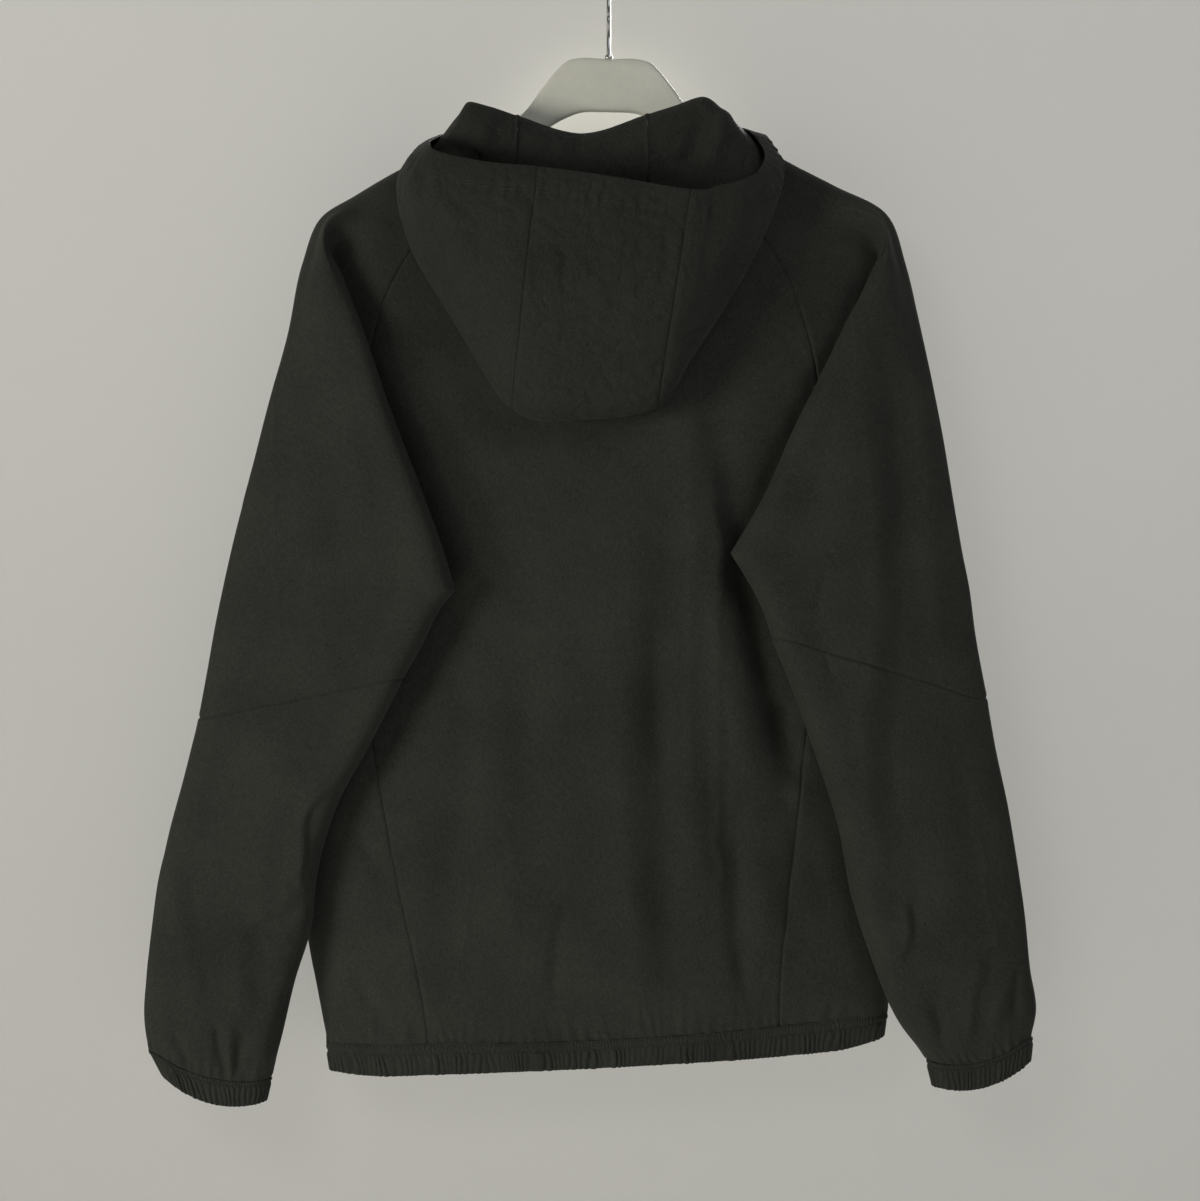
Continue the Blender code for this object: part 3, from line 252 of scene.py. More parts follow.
def read(rows, column, at):
    """A column's value at places along the table's key, on a smooth curve through its rows."""
    keys = next(iter(rows.values()))
    values = rows[column]
    slopes = np.gradient(values, keys)
    at = np.clip(at, keys[0], keys[-1])
    low = np.clip(np.searchsorted(keys, at) - 1, 0, len(keys) - 2)
    span = keys[low + 1] - keys[low]
    part = (at - keys[low]) / span
    rise = part * part * (3 - 2 * part)
    start = part * (1 - part) ** 2 * span * slopes[low]
    end = part * part * (1 - part) * span * slopes[low + 1]
    return values[low] + (values[low + 1] - values[low]) * rise + start - end


def mix(start, end, part):
    return start + (end - start) * part


def ease(part):
    part = np.clip(part, 0, 1)
    return part * part * (3 - 2 * part)


def unit(vector):
    return vector / np.linalg.norm(vector, axis=-1, keepdims=True)


def stacked(*arrays):
    """Arrays side by side along a new last axis."""
    return np.stack(np.broadcast_arrays(*arrays), axis=-1)


def body_section(drop):
    """Middle, half width and the two depths of the body tube at a drop."""
    left, right = read(BODY, "left", drop), read(BODY, "right", drop)
    return (left + right) / 2, (right - left) / 2, read(BODY, "back", drop), read(BODY, "front", drop)


def fold_relief(x, drop):
    """How far the back's soft folds move it in, which is towards +Y."""
    moved = 0.0
    for high_x, high, low_x, low, width, depth in zip(*BACK_FOLDS.values()):
        part = (drop - high) / (low - high)
        away = (x - mix(high_x, low_x, part)) / width
        fade = np.cos(np.clip((part - 0.5) / 1.6, -0.5, 0.5) * math.pi) ** 2
        moved = moved + depth * fade * (np.exp(-4 * away**2) - 0.7 * np.exp(-4 * (away + 0.9) ** 2))
    return moved


def body_point(side, turn, drop):
    """Points of the body tube: turn 0 is the middle of the back, 1 a side fold, 2 the front."""
    middle, half, back, front = body_section(drop)
    sine, cosine = np.sin(turn * math.pi / 2), np.cos(turn * math.pi / 2)
    x = middle + side * half * np.copysign(np.abs(sine) ** (2 / ROUNDNESS), sine)
    depth = np.abs(cosine) ** (2 / ROUNDNESS)
    return stacked(x, np.where(cosine > 0, fold_relief(x, drop) - back * depth, front * depth), -drop)


def back_y(x, drop):
    """Depth of the back surface of the body tube."""
    middle, half, back, _ = body_section(drop)
    inside = 1 - np.minimum(np.abs(x - middle) / half, 1) ** ROUNDNESS
    return -back * inside ** (1 / ROUNDNESS) + fold_relief(x, drop)


def back_point(x, drop):
    return stacked(x, back_y(x, drop), -drop)


def turn_on_back(x, drop):
    """The turn at which the body tube's back has a given distance across."""
    middle, half, _, _ = body_section(drop)
    return np.arcsin(np.minimum(np.abs(x - middle) / half, 1) ** (ROUNDNESS / 2)) * 2 / math.pi


def front_turn_at(side, x, drop):
    """The turn, counted round one side, at which the front has a given distance across."""
    beyond_middle = side * (x - body_section(drop)[0]) < 0
    return 2 + turn_on_back(x, drop) * np.where(beyond_middle, 1, -1)


def hem_gap(x, drop):
    """How far below a drop the top line of the hem band lies."""
    return read(HEM, "top", x) - drop


def lengths_along(grid, axis):
    """Distance of each point of a grid from the start of its own line."""
    steps = np.linalg.norm(np.diff(grid, axis=axis), axis=-1)
    zero = np.zeros_like(np.take(grid[..., 0], [0], axis=axis))
    return np.concatenate([zero, np.cumsum(steps, axis=axis)], axis=axis)


def height_over(grid):
    """Distance of each point of a grid from the last point of its column."""
    down = lengths_along(grid, 0)
    return down[-1:] - down


def along(points, parts):
    """Points at given shares of a line's length."""
    lengths = lengths_along(points, 0)
    places = np.asarray(parts) * lengths[-1]
    return np.stack([np.interp(places, lengths, points[:, axis]) for axis in range(3)], axis=1)


# Distances from a seam at which lines are sampled as well, and how close two samples may be.
SEAM_SAMPLES = (0.35, 0.8, 1.4, 2.2)
CLOSEST_SAMPLES = 0.25


def places_for(lengths, spacing, seams=(True, True), multiple=1):
    """Where a fine line samples a coarse one, as segment number plus part of the segment.

    Next to a seam a few samples stand close together, so that the groove there is modelled. The
    number of steps between samples is a multiple of the given one.
    """
    spacing = np.broadcast_to(spacing, len(lengths))
    found = []
    for number, length in enumerate(lengths):
        count = max(1, round(length / spacing[number]))
        found += [number + step / count for step in range(count)]
    found.append(float(len(lengths)))
    for seam, start, way, length in zip(seams, (0, len(lengths)), (1, -1), (lengths[0], lengths[-1])):
        if seam:
            found += [start + way * (away / length) for away in SEAM_SAMPLES if away < length]
    found = sorted(set(found))
    kept = [found[0]]
    for value in found[1:]:
        segment = min(int(value - 1e-9), len(lengths) - 1)
        if (value - kept[-1]) * lengths[segment] > CLOSEST_SAMPLES:
            kept.append(value)
    kept[-1] = float(len(lengths))
    while (len(kept) - 1) % multiple:
        widest = int(np.argmax(np.diff(kept)))
        kept.insert(widest + 1, (kept[widest] + kept[widest + 1]) / 2)
    return np.array(kept)


def smooth(grid, at, corner=None, crisp=0.0):
    """The grid sampled along its first axis on a smooth curve through each of its lines.

    At the row named by corner each line may turn sharply: crisp says how much, from 0 to 1.
    """
    grid = np.asarray(grid, float)
    step = np.diff(grid, axis=0)
    length = np.maximum(np.linalg.norm(step, axis=-1, keepdims=True), 1e-6)
    slope = step / length
    before, after = length[:-1], length[1:]
    inner = (before * slope[1:] + after * slope[:-1]) / (before + after)
    tangent = np.concatenate([slope[:1], inner, slope[-1:]])
    low = np.clip(at.astype(int), 0, len(grid) - 2)
    part = (at - low).reshape(-1, *[1] * (grid.ndim - 1))
    span = length[low]
    leaving, arriving = tangent[low], tangent[low + 1]
    if corner is not None:
        crisp = np.reshape(crisp, (-1, 1))
        leaving[low == corner] += crisp * (slope[corner] - tangent[corner])
        arriving[low + 1 == corner] += crisp * (slope[corner - 1] - tangent[corner])
    rise = part * part * (3 - 2 * part)
    start = part * (1 - part) ** 2 * span * leaving
    end = part * part * (1 - part) * span * arriving
    return grid[low] + step[low] * rise + start - end


def typical(grid, axis):
    """The length of each segment of a coarse grid's lines, for the longer ones of them."""
    steps = np.linalg.norm(np.diff(grid, axis=axis), axis=-1)
    return np.quantile(steps, 0.75, axis=1 - axis)


def fine_grid(grid, rows_apart, columns_apart, corner=None, crisp_from=0.0, crisp_to=0.0):
    """A smooth fine grid through a coarse one, with a corner in one row between two columns."""
    columns = places_for(typical(grid, 1), columns_apart)
    wide = smooth(grid.transpose(1, 0, 2), columns).transpose(1, 0, 2)
    rows = places_for(typical(wide, 0), rows_apart, multiple=INNER_STEP)
    crisp = ease(columns - crisp_from + 1) * ease(crisp_to + 1 - columns)
    return smooth(wide, rows, corner, crisp), rows, columns


def snap(grid, column, target, reach=45.0):
    """Moves one edge of a fine grid onto a line, and what lies near the edge along with it."""
    step = target - grid[:, column]
    away = lengths_along(grid, 1)
    away = np.abs(away - away[:, [column]])
    grid += (1 - ease(away / reach))[..., None] * step[:, None]


def surface_normals(grid):
    return unit(np.cross(np.gradient(grid, axis=0), np.gradient(grid, axis=1)))


NEAR = np.array((0, -1.0, 0))


def round_turn(centre, outward, reach, depth, steps):
    """Points of a turn from the near face (-Y) round an edge to the far face (+Y)."""
    points = []
    for step in range(steps + 1):
        angle = math.pi * step / steps
        sideways = outward * math.sin(angle) * reach
        points.append(centre + sideways + np.array((0, -math.cos(angle) * depth, 0)))
    return points


def stretch(start, end, steps, bulge=0.0, skip_first=False, skip_last=False):
    """Points from one to another, bowed along Y."""
    points = []
    for step in range(skip_first, steps + 1 - skip_last):
        part = step / steps
        bow = bulge * math.sin(part * math.pi) ** 0.8 if 0 < part < 1 else 0.0
        points.append(mix(start, end, part) + np.array((0, bow, 0)))
    return points


def shoulder_row(seam, front, outer, depth, yoke, split):
    """A row that crosses the shoulder: up the back, over the hanger's arm and down the front."""
    inward = unit(np.array((seam[0] - outer[0], 0, seam[2] - outer[2])))
    centre = outer + inward * SHOULDER_REACH
    near = centre + np.array((0, -depth, 0))
    yoke_end, fold_end = mix(seam, near, yoke), mix(seam, near, split)
    points = stretch(seam, yoke_end, YOKE_STEPS, skip_last=True)
    points += stretch(yoke_end, fold_end, 2 + MIDDLE_STEPS + FOLD_STEPS, skip_last=True)
    points += stretch(fold_end, near, FLAP_STEPS, skip_last=True)
    points += round_turn(centre, -inward, SHOULDER_REACH, depth, OUTER_STEPS)
    far = centre + np.array((0, depth, 0))
    points += stretch(far, front, FAR_STEPS, skip_first=True)
    return points


def edge_point(rows, edge, row):
    """The middle of a sleeve's outer edge or fold."""
    return np.array((rows[edge][row], rows[edge + "_y"][row], -rows[edge + "_drop"][row]))


def flap(side, rows, row, fold_reach, outer_reach, bulge):
    """A sleeve's points from behind its fold, over its near side, to behind its outer edge.

    The first and last of them, on the far side, are also given by themselves.
    """
    outward = np.array((float(side), 0, 0))
    fold_half, outer_half = rows["fold_half"][row], rows["outer_half"][row]
    fold = edge_point(rows, "fold", row) + outward * fold_reach
    outer = edge_point(rows, "outer", row) - outward * outer_reach
    points = round_turn(fold, -outward, fold_reach, -fold_half, FOLD_STEPS)[:-1]
    points += stretch(fold + NEAR * fold_half, outer + NEAR * outer_half, FLAP_STEPS, bulge, skip_last=True)
    points += round_turn(outer, outward, outer_reach, outer_half, OUTER_STEPS)
    return fold - NEAR * fold_half, points, outer - NEAR * outer_half


def sleeve_grid(side):
    """Rows of an upper sleeve from the neckline to the elbow seam."""
    rows = UPPER_SLEEVES[side]
    key = SIDE_NAMES[side]
    grid = []
    for row in range(len(rows["row"])):
        if row <= UNDERARM:
            seam = back_point(BACK_EDGES[key][row], BACK_EDGES[key + "_drop"][row])
            front = body_point(side, FRONT_EDGES[key + "_turn"][row], FRONT_EDGES[key + "_drop"][row])
        if row < SHOULDER_TIP:
            outer = edge_point(rows, "outer", row)
            shares = SHOULDER["yoke"][row], SHOULDER["split"][row]
            grid.append(shoulder_row(seam, front, outer, rows["outer_half"][row], *shares))
            continue
        tuck_x, tuck_drop = rows["tuck"][row], rows["tuck_drop"][row]
        tuck_y = back_y(tuck_x, tuck_drop)
        if row == UNDERARM:
            tuck_y -= 4
            seam = seam + NEAR * 2
            front = front + NEAR * 2 + np.array((float(side), 0, 0))
        elif row > UNDERARM:
            tuck_y -= 7
            front = seam = back_point(tuck_x + side * 6, tuck_drop) + NEAR * 6
        tuck = np.array((tuck_x, tuck_y, -tuck_drop))
        tuck_turn = tuck + NEAR * (rows["tuck_gap"][row] + 0.8)
        fold_reach = min(rows["fold_half"][row], FOLD_REACH)
        outer_reach = mix(SHOULDER_REACH, OUTER_REACH, min((row - SHOULDER_TIP) / 4, 1))
        bulge = mix(-7, -8, min(max(row - UNDERARM, 0) / 3, 1))
        far_fold, over, far_outer = flap(side, rows, row, fold_reach, outer_reach, bulge)
        points = stretch(seam, tuck, YOKE_STEPS, skip_last=True) + [tuck]
        points += stretch(tuck_turn, far_fold, 1 + MIDDLE_STEPS, skip_last=True)
        points += over + stretch(far_outer, front, FAR_STEPS, 2, skip_first=True)
        grid.append(points)
    return np.array(grid)


def lower_sleeve_grid(side):
    """Rows round a lower sleeve, each from its underarm seam on the far side and back to it."""
    rows = LOWER_SLEEVES[side]
    grid = []
    for row in range(len(rows["row"])):
        far_fold, over, far_outer = flap(side, rows, row, FOLD_REACH, OUTER_REACH, -8)
        seam = mix(far_fold, far_outer, SEAM_PART) + np.array((0, 2.0, 0))
        points = stretch(seam, far_fold, 4, skip_last=True) + over
        line = np.array(points + stretch(far_outer, seam, 3, 3, skip_first=True))
        outer, fold = rows["outer"][row], rows["fold"][row]
        part = np.clip((line[:, 0] - outer) / (fold - outer), 0, 1)
        line[:, 2] -= 4 * part * (1 - part) * rows["bow"][row]
        grid.append(line)
    return np.array(grid)


def back_edge(side, rows):
    """The back panel's long edge on one side: raglan seam, then side seam."""
    x = read(BACK_EDGES, SIDE_NAMES[side], rows)
    drop = read(BACK_EDGES, SIDE_NAMES[side] + "_drop", rows)
    return back_point(x, drop + hem_gap(x, drop) * ease(rows - LAST_ROW + 1))


def front_edge(side, rows):
    """The front raglan seam."""
    key = SIDE_NAMES[side]
    return body_point(side, read(FRONT_EDGES, key + "_turn", rows), read(FRONT_EDGES, key + "_drop", rows))


def back_grid(rows, parts):
    """Points of the back panel at fractional rows and at parts of the way across."""
    rows, parts = np.meshgrid(rows, parts, indexing="ij")
    drops = [read(BACK_EDGES, side + "_drop", rows) for side in ("left", "right")]
    x = mix(read(BACK_EDGES, "left", rows), read(BACK_EDGES, "right", rows), parts)
    drop = mix(*drops, parts) + 4 * parts * (1 - parts) * NECK_DIP * np.maximum(0, 1 - rows / 5) ** 2
    return back_point(x, drop + hem_gap(x, drop) * ease(rows - LAST_ROW + 1))


def front_grid(side, rows, parts):
    """Points of a front panel, from the raglan and side seams round the side fold to the zip."""
    key = SIDE_NAMES[side]
    zip_edge = CENTRE_FRONT + side * (ZIP_TAPE_WIDTH + SEAM_GAP)
    rows, parts = np.meshgrid(rows, parts, indexing="ij")
    side_drop = read(BACK_EDGES, key + "_drop", rows)
    side_turn = turn_on_back(read(BACK_EDGES, key, rows), side_drop)
    upper = rows < UNDERARM
    start_drop = np.where(upper, read(FRONT_EDGES, key + "_drop", rows), side_drop)
    start_turn = np.where(upper, read(FRONT_EDGES, key + "_turn", rows), side_turn)
    foot_share = (rows - UNDERARM) / (LAST_ROW - UNDERARM)
    lower_end = mix(FRONT_EDGES["zip_drop"][-1], ZIP_FOOT_DROP, foot_share)
    end_drop = np.where(upper, read(FRONT_EDGES, "zip_drop", rows), lower_end)
    drop = mix(start_drop, end_drop, 1 - (1 - parts) ** 2)
    turn = mix(start_turn, front_turn_at(side, zip_edge, drop), parts)
    x = body_point(side, turn, drop)[..., 0]
    return body_point(side, turn, drop + hem_gap(x, drop) * ease(rows - LAST_ROW + 1))


def neckline():
    """The neckline's points, from the zip on the left round the back to the zip on the right."""
    top, parts, places = np.zeros(1), np.arange(65) / 64, np.arange(0, 22.01, 0.25)
    left, right = (front_grid(side, top, parts)[0] for side in (LEFT, RIGHT))
    left_sleeve, right_sleeve = (smooth(sleeve_grid(side)[0], places) for side in (LEFT, RIGHT))
    back = back_grid(top, parts)[0]
    return np.concatenate([left[::-1], left_sleeve[::-1], back, right_sleeve, right])


def hood_mark(part, place):
    """The ridge, bottom or lip point of a strip."""
    x, y, drop = (read(HOOD, f"{part}_{axis}", place) for axis in ("x", "y", "drop"))
    return np.array((x, y, -drop))


def hood_strip(base, place):
    """One strip of the hood from the neckline to the lip."""
    facing = math.radians(read(HOOD, "facing", place))
    out = np.array((math.cos(facing), math.sin(facing), 0))
    ridge, bottom, lip = (hood_mark(part, place) for part in ("ridge", "bottom", "lip"))
    over = ridge + out * RIDGE_WIDTH
    room = min(5, np.linalg.norm(over - bottom) / 4)
    inner_bottom = bottom - out * room + unit(over - bottom) * room * 0.7
    outer_bottom = bottom + out * (room + 1) + unit(lip - bottom) * room * 0.7
    swell = min(20, np.linalg.norm(lip - bottom) / 9)
    below_ridge = np.array((0, 0, RIDGE_HEIGHT))
    points = [base, mix(base, ridge, 0.5) + out, ridge - below_ridge]
    points += [ridge + out * RIDGE_WIDTH / 2, over - below_ridge]
    for part in (0.3, 0.65):
        points.append(mix(over, inner_bottom, part) - out * 1.5 * math.sin(part * math.pi))
    points += [inner_bottom, bottom, outer_bottom]
    for part in (0.2, 0.45, 0.72):
        points.append(mix(outer_bottom, lip, part) + out * swell * math.sin(part * math.pi))
    return points + [lip]


def hood_grid(places):
    line = neckline()
    grid = []
    for place in places:
        share = read(NECK, "share", place)
        before, base, after = along(line, [share - 0.012, share, share + 0.012])
        tangent = unit(after - before)
        rise = hood_mark("ridge", place) - base
        rise = unit(rise - tangent * np.dot(rise, tangent))
        grid.append(hood_strip(base + rise * read(NECK, "gap", place), place))
    return np.array(grid).transpose(1, 0, 2)


# Camera of the picture: where it stands, its lens and sensor, and how many millimetres a picture
# unit is at CAMERA_REACH in front of it. Creases are placed in those units, as that camera sees them.
CAMERA_X, CAMERA_REACH, CAMERA_Z = -6.9, 2000.0, -502.8
CAMERA_Y = -40.0 - CAMERA_REACH
CAMERA_LENS, CAMERA_SENSOR = 76.43, 36.0
PICTURE_MIDDLE = np.array((600.0, 600.5))
PER_UNIT = 0.785
# How deep all creases are made, against the heights in their tables.
DEPTH = 2.4


def picture(points):
    """Where points show in the picture, in its own units, with the second one counted down."""
    reach = (points[..., 1] - CAMERA_Y) / CAMERA_REACH * PER_UNIT
    across = (points[..., 0] - CAMERA_X) / reach
    down = (CAMERA_Z - points[..., 2]) / reach
    return np.stack([across, down], axis=-1) + PICTURE_MIDDLE


def far_map(points):
    """Places on the zip side, in millimetres across and down."""
    return np.stack([points[..., 0], -points[..., 2]], axis=-1)


def undulation(places, wavelength, seed, count=14):
    """Soft random rise and fall of about one wavelength, between about -1 and 1."""
    random = np.random.default_rng(seed)
    total = np.zeros(places.shape[:-1])
    for _ in range(count):
        angle = random.uniform(0, math.pi)
        pitch = wavelength * random.uniform(0.7, 1.5)
        across = places[..., 0] * math.cos(angle) + places[..., 1] * math.sin(angle)
        total += np.cos(across * 2 * math.pi / pitch + random.uniform(0, 2 * math.pi))
    return total / math.sqrt(count)


def beside(places, line):
    """Signed distance of places from a line, and how far along it they are, as a share."""
    closest = np.full(len(places), np.inf)
    away, share = np.zeros(len(places)), np.zeros(len(places))
    spans = np.linalg.norm(np.diff(line, axis=0), axis=1)
    start = 0.0
    for first, second, span in zip(line[:-1], line[1:], spans):
        ahead = (second - first) / span
        reach = places - first
        step = np.clip(reach @ ahead, 0, span)
        off = reach - step[:, None] * ahead
        distance = np.hypot(off[:, 0], off[:, 1])
        turn = np.where(ahead[0] * reach[:, 1] - ahead[1] * reach[:, 0] < 0, -1, 1)
        nearer = distance < closest
        closest[nearer] = distance[nearer]
        away[nearer] = (turn * distance)[nearer]
        share[nearer] = ((start + step) / spans.sum())[nearer]
        start += span
    return away, share


def creases(text):
    """Creases from a text that has one a line: kind, width, height and points of its course."""
    found = []
    for kind, width, height, *course in (line.split() for line in text.strip().splitlines()):
        points = np.array([point.split(",") for point in course], float)
        if len(points) > 2:
            points = smooth(points, np.arange((len(points) - 1) * 6 + 1) / 6)
        found.append((kind, float(width), float(height), points))
    return found


def crease_shape(kind, away, width):
    """Height of a crease, from 0 to 1, at distances beside its course.

    "soft" is a round trough or ridge, "hollow" one with short ends and "sharp" a pressed line.
    "step" and "lap" are cloth that stands up on the course's right-hand side, as someone sees it
    who goes along it, and sinks back slowly: a step rises over its width, a lap at once.
    """
    if kind in ("soft", "hollow"):
        return np.exp(-((away / width) ** 2))
    if kind == "sharp":
        return np.exp(-np.abs(away) / width)
    if kind == "step":
        return ease(away / width + 0.5) * np.exp(-np.maximum(away - width / 2, 0) / (2.4 * width))
    return ease(away / (0.35 * width) + 0.5) * np.exp(-np.maximum(away, 0) / (1.6 * width))


def crease_relief(places, listed):
    """Height of listed creases at places."""
    flat = places.reshape(-1, 2)
    bent = flat + 1.6 * np.stack([undulation(flat, 60, 5), undulation(flat, 60, 6)], axis=-1)
    total = np.zeros(len(flat))
    for kind, width, height, line in listed:
        reach = 10 * width if kind == "step" else 5 * width
        low, high = line.min(axis=0) - reach, line.max(axis=0) + reach
        close = ((bent > low) & (bent < high)).all(axis=1)
        if not close.any():
            continue
        away, share = beside(bent[close], line)
        end = 0.1 if kind == "hollow" else 0.25
        fade = ease(share / end) * ease((1 - share) / end)
        total[close] += DEPTH * height * fade * crease_shape(kind, away, width)
    return total.reshape(places.shape[:-1])


def gather_relief(around, up, pitch, reach, height, seed):
    """Puckers that rise from a gathered seam: around is the place along it, up the distance."""
    random = np.random.default_rng(seed)
    total = np.zeros(np.broadcast(around, up).shape)
    place = around.min() - pitch
    while place < around.max() + pitch:
        place += pitch * random.uniform(0.55, 1.5)
        size, long = random.uniform(0.35, 1.0), reach * random.uniform(0.35, 1.3)
        lean, wide = random.uniform(-0.35, 0.35), pitch * random.uniform(0.22, 0.4)
        offset = around - place - lean * up
        total += size * np.exp(-((offset / wide) ** 2) - np.maximum(up, 0) / long)
    return height * (total - 0.45 * np.exp(-np.maximum(up, 0) / reach)) * (0.35 + 0.65 * ease(up / 3))


def link(name, points, faces, material, slot, sharp=50):
    """An object of the jacket from points in millimetres, riding on the body."""
    mesh = bpy.data.meshes.new(name)
    flat = np.concatenate([np.asarray(face, np.int32).ravel() for face in faces])
    sizes = np.concatenate([np.full(len(face), np.shape(face)[1], np.int32) for face in faces])
    mesh.vertices.add(len(points))
    mesh.vertices.foreach_set("co", (np.asarray(points) * MM).astype(np.float32).ravel())
    mesh.loops.add(len(flat))
    mesh.loops.foreach_set("vertex_index", flat)
    mesh.polygons.add(len(sizes))
    mesh.polygons.foreach_set("loop_start", np.concatenate([[0], np.cumsum(sizes)[:-1]]).astype(np.int32))
    mesh.polygons.foreach_set("loop_total", sizes)
    mesh.update(calc_edges=True)
    mesh.validate()
    mesh.shade_smooth()
    mesh.set_sharp_from_angle(angle=math.radians(sharp))
    mesh.materials.append(material)
    made = bpy.data.objects.new(name, mesh)
    bpy.context.scene.collection.objects.link(made)
    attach(made, BODY_NAME)
    return made


def quads(index, flipped=False):
    """Four-cornered faces over a grid of point numbers."""
    corners = [index[:-1, :-1], index[1:, :-1], index[1:, 1:], index[:-1, 1:]]
    if flipped:
        corners[1], corners[3] = corners[3], corners[1]
    return np.stack(corners, axis=-1).reshape(-1, 4)


def closed_wall(outer, inner, strips, outward):
    """Points and faces of a wall between an outer grid and an inner one with fewer rows.

    strips says over how many faces, one below the other, each of its two sides is closed.
    """
    index = np.arange(outer[..., 0].size).reshape(outer.shape[:2])
    behind = index.size + np.arange(inner[..., 0].size).reshape(inner.shape[:2])
    top = np.stack([index[0, :-1], index[0, 1:], behind[0, 1:], behind[0, :-1]], axis=-1)
    foot = np.stack([index[-1, :-1], behind[-1, :-1], behind[-1, 1:], index[-1, 1:]], axis=-1)
    steps = [(len(rows) - 1) // strips for rows in (index, behind)]
    near, far = (np.arange(strips)[:, None] * step + np.arange(step + 1) for step in steps)
    left = np.concatenate([index[near[:, ::-1], 0], behind[far, 0]], axis=1)
    right = np.concatenate([index[near, -1], behind[far[:, ::-1], -1]], axis=1)
    faces = [quads(index), quads(behind, True), top, foot, left, right]
    if outward < 0:
        faces = [group[:, ::-1] for group in faces]
    return np.concatenate([outer.reshape(-1, 3), inner.reshape(-1, 3)]), faces


def flat_places(grid):
    """Where the points of a grid lie on the cut cloth."""
    return np.stack([lengths_along(grid, 1), lengths_along(grid, 0)], -1)


def lay_weave(made, *grids):
    """Cloth coordinates in metres, for the weave, from the flat places of an object's points."""
    places = np.concatenate([grid.reshape(-1, 2) for grid in grids])
    loops = np.zeros(len(made.data.loops), np.int32)
    made.data.loops.foreach_get("vertex_index", loops)
    layer = made.data.uv_layers.new(name="cloth")
    layer.data.foreach_set("uv", (places[loops] * MM).astype(np.float32).ravel())


def cloth(name, grid, outward, relief, material, half=0.4, row_step=INNER_STEP, grooves=(1, 1, 1, 1),
          slot="shell_cloth"):
    """A thin cloth wall on a fine grid, raised by relief along its outward normal.

    grooves says how deep the first and last row and the first and last column sink at their seam.
    """
    normals = surface_normals(grid) * outward
    down, across = lengths_along(grid, 0), lengths_along(grid, 1)
    edges = (down, down[-1:] - down, across, across[:, -1:] - across)
    sunk = 0
    for depth, edge in zip(grooves, edges):
        rim = np.exp(-(((edge - 3.6) / 2.0) ** 2))
        sunk = sunk + depth * (0.85 * np.exp(-((edge / 1.1) ** 2)) - 0.15 * rim)
    middle = grid + normals * (relief - sunk)[..., None]
    normals = surface_normals(middle) * outward
    half = np.broadcast_to(half, grid.shape[:2])[..., None]
    outer, inner = middle + normals * half, (middle - normals * half)[::row_step]
    made = link(name, *closed_wall(outer, inner, len(inner) - 1, outward), material, slot)
    places = flat_places(grid)
    lay_weave(made, places, places[::row_step])
    return made, outer, normals


# Creases as the picture's camera sees them, in its own units: kind, width, height, course. The
# places of those on the zip side are millimetres across and down.
BODY_CREASES = creases("""
  sharp   3  0.3  476,870 468,920 460,975 455,1026
  step   46    3  648,470 652,583 650,648 646,725 644,801 648,882 654,964 660,1030
  soft    6  0.5  706,430 715,560 717,700 717,800 721,964
  soft    5  0.3  690,440 692,560 690,700 694,820
  step   42    4  728,440 732,520 734,600 747,680 764,755 776,800
  soft   12 -1.6  800,792 770,799 745,811 728,834
  soft   12 -1.8  742,812 740,850 739,909 742,965 744,1015
  soft   14   -2  776,690 789,745 803,795
  step   46  1.6  650,790 654,882 658,964 660,1035
  soft    7 -0.7  797,800 792,860 786,940
  soft   20  1.6  762,835 764,890 767,950
  soft    7 -0.9  610,888 580,897 562,912 556,950 558,1015
  soft   24  0.7  596,925 598,960 600,995
  soft   12 -0.5  806,845 822,890 836,930
  lap     7  0.7  764,984 774,962 786,948
  soft    9 -0.8  350,828 372,860 393,886
  soft    8 -0.9  350,966 374,1005 397,1042
  lap     6  0.6  398,990 410,979 424,971
  soft   20  0.8  505,700 512,820 508,960
  soft   26  0.7  560,470 548,600 556,740
  soft   16 -0.7  455,640 468,760 470,860
  hollow 24 -1.4  456,600 430,640 400,690 376,735 350,778
""")
